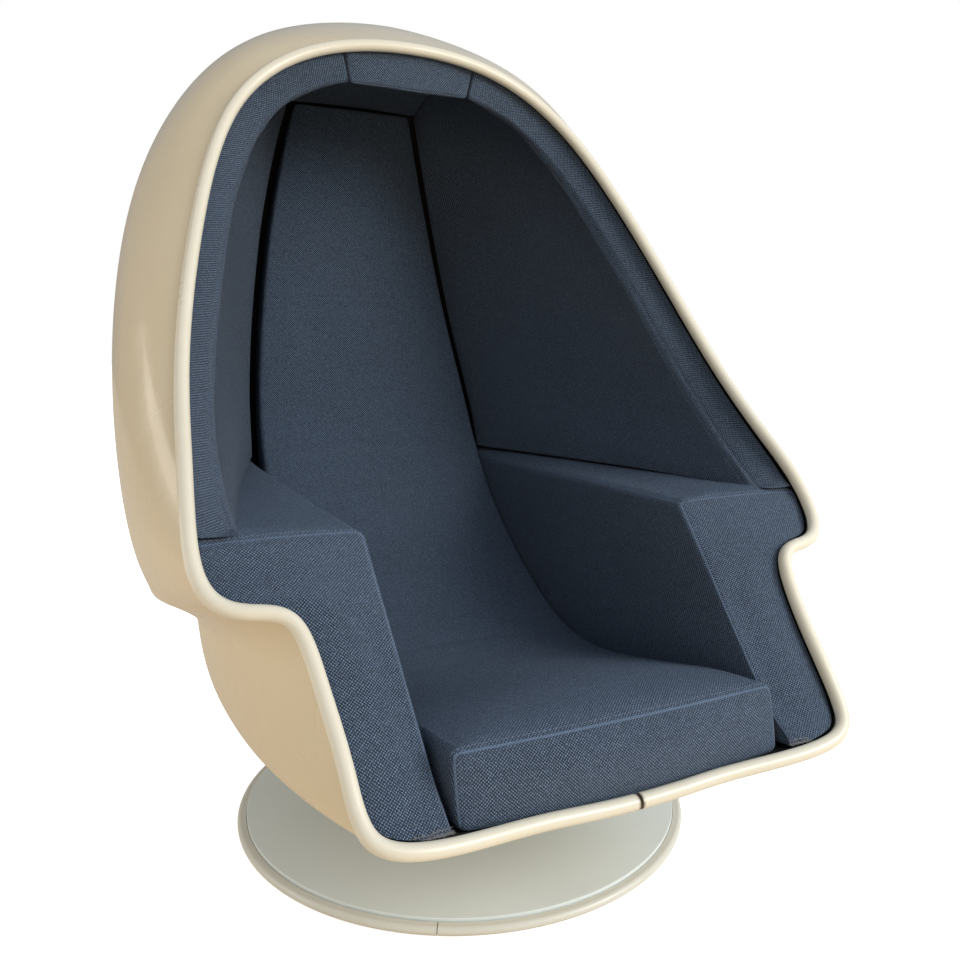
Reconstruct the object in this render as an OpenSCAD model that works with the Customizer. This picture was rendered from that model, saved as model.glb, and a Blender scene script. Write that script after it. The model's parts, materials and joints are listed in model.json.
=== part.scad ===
/*
  Swivelling pod chair: a one-piece moulded shell on a flat round base.
  Millimetres, +Z up, origin on the floor under the swivel axis, front towards -Y.
  Curves are cubic B-splines of hand-set shares of the named sizes.
*/

/* [Pod shell] */
// Half of the widest part of the shell
pod_half_w = 512; // [485:1:540]
// How far the shell reaches in front of the swivel axis
pod_front = 525; // [505:1:545]
// How far the shell reaches behind the swivel axis
pod_back = 645; // [630:1:670]
// Height of the underside before the moulded flat is cut
pod_low = 158; // [150:1:164]
// Height of the crown of the hood
pod_top = 1340; // [1325:1:1365]
// Depth of the flat moulded into the underside
foot_flat = 18; // [15:1:22]
// Thickness of the moulded wall
shell_wall = 5; // [4:0.5:7]

/* [Rim of the shell] */
// Half of the widest part of the opening
rim_half_w = 460; // [445:1:475]
// How far the top of the opening lies behind the swivel axis
rim_top_y = 182; // [165:1:195]
// Height of the lip under the seat
rim_low_z = 230; // [224:1:236]
// How far the top of the opening lies below the crown of the hood
rim_top_drop = 80; // [70:1:88]

/* [Rim bead] */
// Width of the half-round bead
bead_w = 19; // [15:1:22]
// How far the bead stands in front of the shell edge
bead_h = 10; // [7:1:12]
// Gap between the two ends of the bead, at the front
bead_joint = 3; // [2:0.5:6]

/* [Hood lining] */
// Thickness of the hood pads
hood_pad_t = 54; // [46:1:58]
// How far the side pads bow outwards between rim and cushion
hood_bow = 34; // [20:1:40]
// How far the roof pad rises between rim and cushion
roof_bow = 46; // [38:1:52]
// Half width of the roof pad at the rim
roof_half_w = 119; // [100:1:135]
// Thickness of the boards behind the pads
hood_board_t = 4; // [3:0.5:5]

/* [Arms] */
// Height of the arm tops along the lining
arm_top_z = 546; // [538:1:556]
// How far the arm tops fall towards the seat
arm_drop = 20; // [12:1:24]
// How far the arms open at the front, above the seat
arm_lean = 10; // [4:1:16]

/* [Seat and back cushion] */
// Half width of the cushion at its widest
seat_half_w = 232; // [222:1:238]
// Height of the front edge of the seat
seat_front_z = 337; // [329:1:344]
// Height of the lowest part of the seat
seat_dip_z = 258; // [254:1:264]
// How far the seat's front edge lies ahead of the swivel axis
seat_front_y = 479; // [469:1:485]
// How far the front of the backrest lies behind the swivel axis
rest_y = 548; // [538:1:556]
// How far the top of the backrest lies below the crown of the hood
rest_top_drop = 102; // [99:1:122]
// Thickness at the front of the seat
seat_front_t = 88; // [82:1:90]
// Thickness of the cushion at its lowest part
seat_dip_t = 57; // [50:1:58]
// Thickness of the backrest
rest_t = 58; // [48:1:62]
// Rise of the cushion's middle over its edges
cushion_crown = 14; // [6:1:18]

/* [Base] */
// Diameter of the base over its edge moulding
base_d = 740; // [680:2:800]
// Height of the base at its top plate
base_h = 19; // [17:0.5:24]
// Thickness of the top plate
base_plate_t = 6; // [4:0.5:7]
// Width of the edge moulding, seen from above
base_trim_w = 14; // [10:1:18]
// Thickness of the felt ring on the floor
felt_t = 2; // [1.5:0.5:3]

/* [Swivel] */
// Outer diameter of the column
column_d = 64; // [58:1:74]
// Bore of the column
column_bore = 42; // [40:1:46]
// Diameter of the spindle
spindle_d = 32; // [28:1:34]
// Diameter of the flange that stands on the base
flange_d = 190; // [170:2:220]
// Thickness of that flange
flange_t = 8; // [6:0.5:10]
// Thickness of the plate under the shell
pod_plate_t = 6; // [5:0.5:8]
// Diameter of the plate under the shell
pod_plate_d = 220; // [200:2:230]
// Diameter of the bolts
bolt_d = 10; // [8:1:12]
// Number of bolts in each ring
bolt_count = 4; // [3:1:6]

/* [Hidden] */

// Colours, as the photograph shows them
shell_colour = [0.86, 0.79, 0.66];
bead_colour = [0.93, 0.87, 0.76];
fabric_colour = [0.13, 0.15, 0.19];
plate_colour = [0.70, 0.72, 0.68];
board_colour = [0.62, 0.47, 0.30];
steel_colour = [0.66, 0.67, 0.69];
nylon_colour = [0.90, 0.89, 0.84];
felt_colour = [0.25, 0.24, 0.22];

// Clearances: between neighbours, under the bead, behind the rim for the lining, between lining
// and shell, and a running fit on its radius
gap = 0.4;
seat_gap = 1.8;
lining_set = 4;
lining_gap = 6;
run_gap = 0.08;
// How far a cutting tool runs past the piece that it cuts
overrun = 1;

// Control points of the rim's right half, from the top centre to the bottom centre, as shares of
// its half width, of its reach from the front, and of its height
rim_shares = [
  [0, 1.004, 1.006], [0.37, 1.018, 0.991], [0.693, 0.993, 0.895], [0.862, 0.788, 0.67],
  [0.948, 0.628, 0.501], [0.977, 0.468, 0.391], [0.995, 0.379, 0.336], [1.002, 0.312, 0.276],
  [0.959, 0.275, 0.243], [0.878, 0.259, 0.234], [0.771, 0.253, 0.232], [0.752, 0.182, 0.165],
  [0.733, 0.091, 0.1], [0.734, 0.023, 0.036], [0.602, 0.004, 0.023], [0.429, 0.02, 0.015],
  [0.269, 0.031, 0.011], [0.145, 0.03, 0.007], [0, 0.031, 0.005]
];
// Control points of the shell's middle line, from the rim over the crown and under to the rim,
// as shares of the pod's length and height; its two ends are the rim's own
spine_shares = [
  [0.755, 1.032], [1.005, 0.972], [1.01, 0.445], [0.925, 0.22],
  [0.88, 0.14], [0.755, 0.055], [0.565, -0.015], [0.255, -0.01]
];
// Half widths of the hood and of the tub below its ledge, as shares of the pod's half width
hood_wide_shares = [0.655, 0.964, 1.005, 0.965, 0.915, 0.91, 0.86, 0.6];
tub_wide_shares = [0.6, 0.85, 0.86, 0.86, 0.79, 0.83, 0.64, 0.36];
// Where the ledge lies along the rim, and how much of the rim its rounding takes either side
ledge_share = 0.562;
ledge_soft_share = 0.032;
// Where the shell is widest, as a share of the way back
lead_shares = [0.14, 0.3, 0.35, 0.46, 0.35];
// Power of the round behind that place: 2 is an ellipse and more is fuller
fullness_shares = [1.5, 2.4, 2.65, 2.35, 2];
// Share of a section that lies in front of its widest place
front_share = 0.35;

// Values that follow from the sizes above
pod_length = pod_front + pod_back;
pod_height = pod_top - pod_low;
flat_z = pod_low + foot_flat;
floor_z = flat_z + shell_wall;
lining_depth = shell_wall + lining_gap;
rim_top_z = pod_top - rim_top_drop;
rest_top_z = pod_top - rest_top_drop;

// Vectors
function unit(v) = v / norm(v);
function flip(p) = [-p.x, p.y, p.z];
function mix(a, b, t) = a + (b - a) * t;

// A cubic B-spline: p has one extra control point at each end, s runs from 0 to 1
function spline(p, s) =
  let (
    spans = len(p) - 3,
    t = s * spans,
    i = min(floor(t), spans - 1),
    u = t - i,
    w = 1 - u
  )
  (
    pow(w, 3) * p[i] + (3 * pow(u, 3) - 6 * u * u + 4) * p[i + 1]
    + (3 * pow(w, 3) - 6 * w * w + 4) * p[i + 2] + pow(u, 3) * p[i + 3]
  ) / 6;
// The extra points that make a spline start and end on its own first and last points
function open_ends(p) = concat(
  [2 * p[0] - p[1]], p, [2 * p[len(p) - 1] - p[len(p) - 2]]
);

// The rim, the middle line and the other values of the shell's sections
rim_points = [
  for (r = rim_shares) [
    r[0] * rim_half_w, r[1] * (pod_front + rim_top_y) - pod_front,
    rim_low_z + r[2] * (rim_top_z - rim_low_z)
  ]
];
rim_last = len(rim_points) - 1;
rim_line = concat([flip(rim_points[1])], rim_points, [flip(rim_points[rim_last - 1])]);
function rim_at(s) = spline(rim_line, s);
function side_of(p) = [p.y, p.z];
spine_line = open_ends(concat(
  [side_of(rim_at(0))],
  [for (b = spine_shares) [b[0] * pod_length - pod_front, pod_low + b[1] * pod_height]],
  [side_of(rim_at(1))]
));
function closed_ends(shares, size) =
  concat([-shares[0], 0], shares, [0, -shares[len(shares) - 1]]) * size;
hood_wide = closed_ends(hood_wide_shares, pod_half_w);
tub_wide = closed_ends(tub_wide_shares, pod_half_w);
function ease(t) = let (c = min(max(t, 0), 1)) c * c * (3 - 2 * c);
function half_width(s) = mix(
  spline(hood_wide, s), spline(tub_wide, s),
  ease((s - ledge_share + ledge_soft_share) / (2 * ledge_soft_share))
);
lead_line = open_ends(lead_shares);
fullness_line = open_ends(fullness_shares);

// One section of the shell: rim point, middle point, half width, lead and fullness
function section(s) = [
  rim_at(s), spline(spine_line, s), max(rim_at(s).x, half_width(s)),
  spline(lead_line, s), spline(fullness_line, s)
];
// A point on a section: v is 0 at the right rim, 1 on the middle line and 2 at the left rim
function on_section(c, v) =
  let (
    h = min(v, 2 - v),
    ahead = h < front_share,
    g = h / front_share,
    turn = 90 * max(0, h - front_share) / (1 - front_share),
    back = ahead ? c[3] * g : c[3] + (1 - c[3]) * pow(sin(turn), 2 / c[4]),
    x = ahead
      ? c[2] - (c[2] - c[0].x) * pow(1 - g, 2)
      : h == 1 ? 0 : c[2] * pow(cos(turn), 2 / c[4])
  )
  [
    v > 1 ? -x : x, mix(c[0].y, c[1][0], back), mix(c[0].z, c[1][1], back)
  ];
function pod_point(s, v) = on_section(section(s), v);
// Outward normal of the shell, from two short steps on its surface
step_share = 0.004;
function pod_normal(s, v) =
  let (
    q = min(max(s, step_share), 1 - step_share),
    v0 = max(0, v - step_share),
    v1 = min(2, v + step_share)
  )
  unit(cross(
    pod_point(q + step_share, v) - pod_point(q - step_share, v), pod_point(q, v1) - pod_point(q, v0)
  ));
// A point inside the wall at a given depth under the outer surface, above the moulded flat
function pod_under(s, v, depth) =
  let (p = pod_point(s, v) - depth * pod_normal(s, v))
  [p.x, p.y, max(p.z, flat_z + depth)];
// The frame of the rim: place, outward and forward directions
function rim_frame(s) =
  let (
    q = min(max(s, step_share), 1 - step_share),
    side = pod_normal(q, 0),
    middle = s == 0 || s == 1,
    out = middle ? unit([0, side.y, side.z]) : side,
    along = middle ? [1 - 2 * s, 0, 0] : unit(rim_at(q + step_share) - rim_at(q - step_share)),
    ahead = unit(cross(along, out))
  )
  [rim_at(s), out, ahead];

// A closed solid over a block of points p[i][j][k]; folded ends have all their j points in one
module block(p, folded = false) {
  ni = len(p);
  nj = len(p[0]);
  nk = len(p[0][0]);
  function id(i, j, k) =
    let (jj = folded && (i == 0 || i == ni - 1) ? 0 : j)
    (i * nj + jj) * nk + k;
  function quad(a, b, c, d) = [[a, b, c], [a, c, d]];
  function whole(t) = t[0] != t[1] && t[1] != t[2] && t[2] != t[0];
  quads = concat(
    [for (i = [0:ni - 2], j = [0:nj - 2])
      quad(id(i, j, 0), id(i, j + 1, 0), id(i + 1, j + 1, 0), id(i + 1, j, 0))],
    [for (i = [0:ni - 2], j = [0:nj - 2], k = [nk - 1])
      quad(id(i, j, k), id(i + 1, j, k), id(i + 1, j + 1, k), id(i, j + 1, k))],
    [for (i = [0:ni - 2], k = [0:nk - 2])
      quad(id(i, 0, k), id(i + 1, 0, k), id(i + 1, 0, k + 1), id(i, 0, k + 1))],
    [for (i = [0:ni - 2], k = [0:nk - 2], j = [nj - 1])
      quad(id(i, j, k), id(i, j, k + 1), id(i + 1, j, k + 1), id(i + 1, j, k))],
    folded ? [] : [for (j = [0:nj - 2], k = [0:nk - 2])
      quad(id(0, j, k), id(0, j, k + 1), id(0, j + 1, k + 1), id(0, j + 1, k))],
    folded ? [] : [for (j = [0:nj - 2], k = [0:nk - 2], i = [ni - 1])
      quad(id(i, j, k), id(i, j + 1, k), id(i, j + 1, k + 1), id(i, j, k + 1))]
  );
  polyhedron(
    points = [for (row = p, cell = row, q = cell) q],
    faces = [for (q = quads, t = q) if (whole(t)) t],
    convexity = 8
  );
}
// The same block on the other side of the middle plane
function flip_block(p) = [for (row = p) [for (n = [len(row) - 1:-1:0]) [for (q = row[n]) flip(q)]]];
// Halves the stretch from a to b until rule(s) changes sign there; rule is above zero at a
function root(rule, a, b, left = 14) =
  left == 0 ? (a + b) / 2
  : let (m = (a + b) / 2) rule(m) > 0 ? root(rule, m, b, left - 1) : root(rule, a, m, left - 1);
// Even steps from a to b
function steps(a, b, n) = [for (i = [0:n]) mix(a, b, i / n)];

// Where along the rim the shell's rows lie: closest together round the ledge and front corners
row_end_shares = [0, 0.45, 0.8, 1];
row_counts = [17, 29, 8];
rim_steps = concat([0], [
  for (k = [0:len(row_counts) - 1], i = [1:row_counts[k]])
    mix(row_end_shares[k], row_end_shares[k + 1], i / row_counts[k])
]);
last_row = len(rim_steps) - 1;
shell_columns = 28;

// Where along the rim the roof pad ends and the arms begin
seam_search_shares = [0, 0.2];
arm_search_shares = [0.2, 0.45];
seam_s = root(
  function(s) roof_half_w - rim_at(s).x, seam_search_shares[0], seam_search_shares[1]
);
arm_s = root(
  function(s) rim_at(s).z - arm_top_z, arm_search_shares[0], arm_search_shares[1]
);

// Pod shell
function shell_row(s) =
  let (ends = s == 0 || s == 1)
  [for (v = steps(0, 2, shell_columns)) [for (d = [0, shell_wall]) pod_under(s, ends ? 1 : v, d)]];
module pod_shell() {
  color(shell_colour)
    difference() {
      block([for (s = rim_steps) shell_row(s)], folded = true);
      bolt_holes(pod_bolt_ring_d, flat_z, floor_z);
    }
}

// Rim bead: a half-round strip on the shell's edge, cut once at the front
bead_sides = 7;
function bead_ring(s) =
  let (
    f = rim_frame(s),
    foot = f[0] - f[1] * shell_wall / 2 + f[2] * seat_gap + [s == 1 ? bead_joint / 2 : 0, 0, 0]
  )
  [
    for (a = steps(0, 180, bead_sides))
      foot + f[1] * cos(a) * bead_w / 2 + f[2] * sin(a) * bead_h
  ];
module rim_bead() {
  right = [for (n = [last_row:-1:0]) bead_ring(rim_steps[n])];
  left = [for (n = [last_row - 1:-1:0]) [for (q = right[n]) flip(q)]];
  rings = concat(right, left);
  sides = bead_sides + 1;
  last = len(rings) - 1;
  color(bead_colour)
    polyhedron(
      points = [for (r = rings, q = r) q],
      faces = concat(
        [for (i = [0:last - 1], k = [0:sides - 1], t = [0, 1])
          let (a = i * sides + k, b = i * sides + (k + 1) % sides)
          t == 0 ? [a, b, b + sides] : [a, b + sides, a + sides]],
        [for (k = [1:sides - 2]) [0, k + 1, k]],
        [for (k = [1:sides - 2]) [last * sides, last * sides + k, last * sides + k + 1]]
      ),
      convexity = 10
    );
}

// Seat and back cushion: its middle path as [y, z], from the front of the seat to the top
seat_shares = [[0, 1], [0.1, 0.85], [0.22, 0.43], [0.35, 0.05], [0.47, -0.06]];
rest_shares = [
  [0.585, 0.04], [0.705, 0.115], [0.805, 0.2], [0.885, 0.3], [0.935, 0.43],
  [0.985, 0.59], [1.004, 0.78], [0.998, 0.9], [0.985, 1]
];
cushion_wide_shares = [
  0.977, 0.977, 0.978, 0.98, 0.985, 0.99, 0.995, 1, 1, 0.965, 0.865, 0.735, 0.62, 0.525
];
path_length = seat_front_y + rest_y;
cushion_path = open_ends(concat(
  [for (p = seat_shares)
    [p[0] * path_length - seat_front_y, mix(seat_dip_z, seat_front_z, p[1])]],
  [for (p = rest_shares)
    [p[0] * path_length - seat_front_y, mix(seat_dip_z, rest_top_z, p[1])]]
));
cushion_wide = open_ends([for (w = cushion_wide_shares) w * seat_half_w]);
// How the thickness goes from the seat's front to its dip, and thins to the top of the backrest
seat_thin_shares = [0, 0, 0.6, 1, 1];
rest_thin_shares = [1, 1, 1, 1, 1, 0.97, 0.85, 0.6, 0.4];
cushion_thick = open_ends(concat(
  [for (a = seat_thin_shares) mix(seat_front_t, seat_dip_t, a)],
  [for (a = rest_thin_shares) a * rest_t]
));
// Place and frame on the path: a point depth below the cushion's top edge, x to the side
function on_path(u, x, depth) =
  let (
    p = spline(cushion_path, u),
    q = spline(cushion_path, min(1, u + step_share)) - spline(cushion_path, max(0, u - step_share)),
    up = unit([-q[1], q[0]])
  )
  [x, p[0] - up[0] * depth, p[1] - up[1] * depth];
// Where the cushion's points lie across it, and how far its edges are rounded and drawn in
across_shares = [1, 0.94, 0.75, 0.5, 0.25, 0, -0.25, -0.5, -0.75, -0.94, -1];
edge_drop = 9;
side_draw = 5;
// How much lower the seat's front hangs in its middle, and how far back that goes
seat_belly = 9;
seat_belly_share = 0.05;
// How far back along the path the cushion's middle has risen in full
crown_share = 0.1;
cushion_rows = 40;
function cushion_row(u) =
  let (
    w = spline(cushion_wide, u),
    t = spline(cushion_thick, u),
    belly = seat_belly * max(0, 1 - u / seat_belly_share),
    crown = cushion_crown * ease(u / crown_share)
  )
  [
    for (a = across_shares)
      let (edge = abs(a) == 1, x = a * (w - (edge ? side_draw : 0)))
      [
        on_path(u, x, edge ? edge_drop : -crown * (1 - a * a)),
        on_path(u, a * w, t / 2),
        on_path(u, x, t + belly * (1 - a * a))
      ]
  ];
module seat_back_cushion() {
  color(fabric_colour) block([for (u = steps(0, 1, cushion_rows)) cushion_row(u)]);
}

// Seat deck: the moulded board under the cushion, between two of the cushion's rows
deck_t = 7;
deck_inset = 14;
deck_rows = [2, 33];
module seat_deck() {
  color(board_colour)
    block([
      for (i = [deck_rows[0]:deck_rows[1]])
        let (
          u = i / cushion_rows, w = spline(cushion_wide, u) - deck_inset,
          t = spline(cushion_thick, u) + gap
        )
        [for (a = [1, 0, -1]) [for (d = [t, t + deck_t]) on_path(u, a * w, d)]]
    ]);
}

// Hood side pads: ruled from the rim to the cushion's side, bowed outwards, thinner at the back
// The pads' back edges lie this deep beside the cushion, and clear its side and top by the gaps
pad_tuck = 24;
pad_top_tuck = 8;
pad_top_lift = 3;
pad_side_gap = 12;
// Thickness of the back edge low down and at the top, as shares of the thickness at the rim
pad_back_share = 0.43;
pad_top_share = 0.235;
// How far along the cushion's path the arms' tops lie, and the bow left there
arm_u_share = 0.635;
arm_bow = 10;
hood_rows = 14;
hood_columns = 8;
// How far the pads' front faces lean with the shell: 0 faces straight forward
pad_lean_share = 0.1;
// A point on the pads' front faces, a depth in from the shell, in the rim's frame f
function pad_front(f, depth) =
  let (inward = unit([-f[1].x, -f[1].y * pad_lean_share, -f[1].z]))
  f[0] - f[1] * lining_depth - f[2] * lining_set + inward * depth;
function hood_point(s, v, depth) =
  let (
    f = rim_frame(s),
    t = (s - seam_s) / (arm_s - seam_s),
    near = pad_front(f, depth),
    u = mix(1, arm_u_share, t),
    top = pow(1 - t, 3),
    back = on_path(u, spline(cushion_wide, u) + pad_side_gap, mix(pad_tuck, pad_top_tuck, top))
      + [0, 0, pad_top_lift * top],
    slope = unit(rim_at(s + step_share) - rim_at(s - step_share)),
    out = unit(cross(slope, back - near)),
    far = back + out * (hood_pad_t - depth) * mix(pad_back_share, pad_top_share, top),
    bow = t < 0.5 ? mix(roof_bow, hood_bow, 2 * t) : mix(hood_bow, arm_bow, 2 * t - 1)
  )
  mix(near, far, v) + out * bow * 4 * v * (1 - v);
function hood_panel(first, last, d0, d1) = [
  for (i = [0:hood_rows])
    let (s = mix(seam_s, arm_s, i / hood_rows))
    [
      for (j = [first:last])
        [
          for (d = [d0, d1])
            let (p = hood_point(s, j / hood_columns, d))
            [p.x, p.y, i == hood_rows ? arm_top_z + gap : max(p.z, arm_top_z + gap)]
        ]
    ]
];
module hood_pad_right() {
  color(fabric_colour) block(hood_panel(0, hood_columns, 0, hood_pad_t));
}
module hood_pad_left() {
  color(fabric_colour) block(flip_block(hood_panel(0, hood_columns, 0, hood_pad_t)));
}
function hood_board() = hood_panel(1, hood_columns - 1, -gap - hood_board_t, -gap);
module hood_board_right() {
  color(board_colour) block(hood_board());
}
module hood_board_left() {
  color(board_colour) block(flip_block(hood_board()));
}

// Roof pad: it spans the hood between the side pads' seams
roof_columns = 10;
roof_rise = 3;
// How much thicker the roof pad's front is in its middle
roof_sag_share = 0.2;
function roof_point(a, v, depth) =
  let (
    edge = hood_point(seam_s, v, depth),
    f = rim_frame(abs(a) * seam_s),
    g = rim_frame(seam_s),
    near = pad_front(f, depth * (1 + roof_sag_share * (1 - a * a))),
    corner = pad_front(g, depth),
    lift = mix(near - corner, [0, 0, roof_rise * (1 - a * a)], v),
    x = v == 0 ? sign(a) * near.x : a * edge.x
  )
  [x - sign(a) * gap, edge.y + lift.y, edge.z + lift.z];
module hood_pad_top() {
  color(fabric_colour)
    block([
      for (a = steps(-1, 1, roof_columns))
        [
          for (v = steps(0, 1, hood_columns))
            [for (d = [0, hood_pad_t]) let (p = roof_point(a, v, d)) a == 0 ? [0, p.y, p.z] : p]
        ]
    ]);
}

// Arm pads: they fill the tub's sides from the shell to an inner face beside the cushion, and
// end where they would be thinner than the least widths at the bottom and at the back
arm_gap = 2;
arm_least = 20;
arm_end_least = 12;
// How far the inner edge of the arms' front lies behind the outer one
arm_front_set = 22;
arm_low_search_shares = [0.6, 0.9];
arm_reach_share = 0.12;
arm_rows = 12;
arm_columns = 9;
arm_across_shares = [0, 0.16, 0.45, 0.75, 0.93, 1];
arm_fall_shares = [0, 0.02, 0.1, 0.22, 0.35, 0.6];
function arm_face(p) =
  let (
    high = min(max((p.z - seat_dip_z) / (arm_top_z - seat_dip_z), 0), 1),
    fore = min(max((rest_y - p.y) / path_length, 0), 1)
  )
  seat_half_w + arm_gap + arm_lean * high * fore;
arm_low_s = root(
  function(s) rim_at(s).x - lining_depth - seat_half_w - arm_least,
  arm_low_search_shares[0], arm_low_search_shares[1]
);
function arm_end(s) = root(
  function(v) let (p = pod_under(s, v, lining_depth)) p.x - arm_face(p) - arm_end_least,
  front_share, 1
);
function arm_top(v) = root(
  function(s) pod_under(s, v, lining_depth).z - arm_top_z + gap,
  arm_s - arm_reach_share, arm_s + arm_reach_share
);
function arm_column(s, v, top, fore) =
  let (
    shell = pod_under(s, v, lining_depth),
    outer = top ? [shell.x, shell.y, arm_top_z - gap] : shell,
    face = arm_face(outer),
    f = rim_frame(s),
    tucked = f[0] - f[1] * ((shell_wall + bead_w) / 2 + gap) - f[2] * lining_set
  )
  [
    for (n = [0:len(arm_across_shares) - 1])
      let (a = arm_across_shares[n], x = mix(outer.x, face, a))
      v == 0 && n < 2
        ? (n == 0 ? outer - f[2] * lining_set : [tucked.x, tucked.y, top ? outer.z : tucked.z])
        : [
          x, outer.y + arm_front_set * a * fore,
          outer.z - (top ? arm_drop * arm_fall_shares[n] : 0)
        ]
  ];
function arm_block() = [
  for (i = [0:arm_rows])
    let (row_s = mix(arm_s, arm_low_s, i / arm_rows), end = arm_end(row_s))
    [
      for (j = [0:arm_columns])
        let (v = end * j / arm_columns, s = mix(arm_top(v), arm_low_s, i / arm_rows))
        arm_column(s, v, i == 0, 1 - j / arm_columns)
    ]
];
module arm_pad_right() {
  color(fabric_colour) block(arm_block());
}
module arm_pad_left() {
  color(fabric_colour) block(flip_block(arm_block()));
}

// Base and swivel: sizes that the pieces share
hole_play = 0.3;
run_over = 0.05;
trim_gap = 0.3;
plate_r = base_d / 2 - base_trim_w;
plate_z = base_h - base_plate_t;
plate_round_share = 0.6;
plate_round = plate_round_share * base_plate_t;
trim_top_share = 0.2;
trim_top_z = plate_z + trim_top_share * base_plate_t;
trim_foot = 0.6;
trim_round = (trim_top_z - trim_foot) / 2;
trim_rib_t = 3;
trim_rib_deep = 8;
trim_rib_z = (felt_t + plate_z - trim_rib_t) / 2;
trim_joint = 1.2;
// Direction of the edge moulding's joint, seen from above
trim_joint_angle = 241;
felt_inset = 22;
felt_w = 60;
base_bolt_ring_d = 140;
pod_bolt_ring_d = 160;
bolt_head_share = 0.65;
bolt_hex_share = 1.85;
bolt_head_h = bolt_head_share * bolt_d;
bolt_head_d = bolt_hex_share * bolt_d;
bolt_hole_d = bolt_d + 2 * hole_play;
washer_t = 4;
washer_inset = 2;
washer_d = column_d - 2 * washer_inset;
spindle_flange_t = 8;
spindle_flange_d = 96;
spindle_lift = 20;
spindle_base_z = flat_z - pod_plate_t - spindle_flange_t;
column_top_z = spindle_base_z - gap - washer_t;
bush_h = 78;
groove_deep = 2;
groove_h = 4;
ring_play = 0.2;
ring_clear = 0.8;
ring_z = column_top_z - bush_h - gap - groove_h;
// The seat deck's lowest place, over the first part of the cushion's path
seat_end_share = 0.6;
path_low_z = min([for (u = steps(0, seat_end_share, cushion_rows)) spline(cushion_path, u)[1]]);
board_top_z = path_low_z - seat_dip_t - 2 * gap - deck_t;

module bolt_ring(ring_d) {
  for (n = [0:bolt_count - 1])
    rotate(360 * (n + 0.5) / bolt_count)
      translate([ring_d / 2, 0, 0])
        children();
}
module disc(d, z0, z1) {
  translate([0, 0, z0]) cylinder(d = d, h = z1 - z0, $fn = 96);
}
module tube(d, bore, z0, z1) {
  difference() {
    disc(d, z0, z1);
    disc(bore, z0 - overrun, z1 + overrun);
  }
}
module bolt_holes(ring_d, z0, z1) {
  bolt_ring(ring_d) translate([0, 0, z0 - overrun])
    cylinder(d = bolt_hole_d, h = z1 - z0 + 2 * overrun, $fn = 32);
}
// A bolt whose head sits on head_z, with its shank running to tip_z
module bolt(head_z, tip_z) {
  head_foot_z = tip_z < head_z ? head_z : head_z - bolt_head_h;
  translate([0, 0, head_foot_z]) cylinder(d = bolt_head_d, h = bolt_head_h, $fn = 6);
  translate([0, 0, min(head_z, tip_z)]) cylinder(d = bolt_d, h = abs(head_z - tip_z), $fn = 32);
}

// Base
module base_felt_ring() {
  felt_d = 2 * (plate_r - felt_inset);
  color(felt_colour) tube(felt_d, felt_d - 2 * felt_w, 0, felt_t);
}
module base_core_board() {
  slot_h = trim_rib_t + 2 * trim_gap;
  slot_d = 2 * (plate_r - trim_rib_deep - trim_gap);
  slot_z = trim_rib_z - trim_gap;
  color(board_colour)
    difference() {
      disc(2 * plate_r, felt_t, plate_z);
      difference() {
        disc(2 * plate_r + overrun, slot_z, slot_z + slot_h);
        disc(slot_d, slot_z - overrun, slot_z + slot_h + overrun);
      }
      bolt_holes(base_bolt_ring_d, felt_t, plate_z);
    }
}
module base_top_plate() {
  edge_r = plate_r - trim_gap;
  round_z = base_h - plate_round;
  color(plate_colour)
    difference() {
      rotate_extrude($fn = 96) {
        translate([0, plate_z]) square([edge_r, base_plate_t - plate_round]);
        translate([0, round_z]) square([edge_r - plate_round, plate_round]);
        intersection() {
          translate([edge_r - plate_round, round_z]) circle(r = plate_round, $fn = 24);
          translate([0, round_z]) square([edge_r, plate_round]);
        }
      }
      bolt_holes(base_bolt_ring_d, plate_z, base_h);
    }
}
module base_edge_trim() {
  joint_x = plate_r - trim_rib_deep - overrun;
  color(bead_colour)
    difference() {
      rotate_extrude($fn = 96) {
        translate([plate_r + trim_gap, trim_foot])
          square([base_trim_w - trim_gap - trim_round, 2 * trim_round]);
        translate([base_d / 2 - trim_round, trim_foot + trim_round])
          circle(r = trim_round, $fn = 24);
        translate([plate_r - trim_rib_deep, trim_rib_z])
          square([trim_rib_deep + 2 * trim_gap, trim_rib_t]);
      }
      rotate(trim_joint_angle)
        translate([joint_x, -trim_joint / 2, -overrun])
          cube([base_d / 2 + overrun - joint_x, trim_joint, base_h + 2 * overrun]);
    }
}

// Swivel
module column_with_flange() {
  color(steel_colour)
    difference() {
      union() {
        disc(flange_d, base_h, base_h + flange_t);
        disc(column_d, base_h, column_top_z);
      }
      disc(column_bore, base_h - overrun, column_top_z + overrun);
      bolt_holes(base_bolt_ring_d, base_h, base_h + flange_t);
    }
}
module flange_bolts() {
  color(steel_colour)
    bolt_ring(base_bolt_ring_d) bolt(base_h + flange_t, felt_t + gap);
}
module column_bush() {
  color(nylon_colour)
    tube(
      column_bore - 2 * run_over, spindle_d + 2 * run_gap, column_top_z - bush_h, column_top_z
    );
}
module thrust_washer() {
  color(nylon_colour)
    tube(washer_d, spindle_d + 2 * hole_play, column_top_z, column_top_z + washer_t);
}
module swivel_spindle() {
  color(steel_colour)
    difference() {
      union() {
        disc(spindle_flange_d, spindle_base_z, spindle_base_z + spindle_flange_t);
        disc(spindle_d, base_h + spindle_lift, spindle_base_z + spindle_flange_t);
      }
      difference() {
        disc(spindle_d + overrun, ring_z, ring_z + groove_h);
        disc(spindle_d - 2 * groove_deep, ring_z - overrun, ring_z + groove_h + overrun);
      }
    }
}
module retaining_ring() {
  color(steel_colour)
    tube(
      column_bore - 2 * ring_clear, spindle_d - 2 * (groove_deep - ring_play),
      ring_z + ring_play, ring_z + groove_h - ring_play
    );
}
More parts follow.
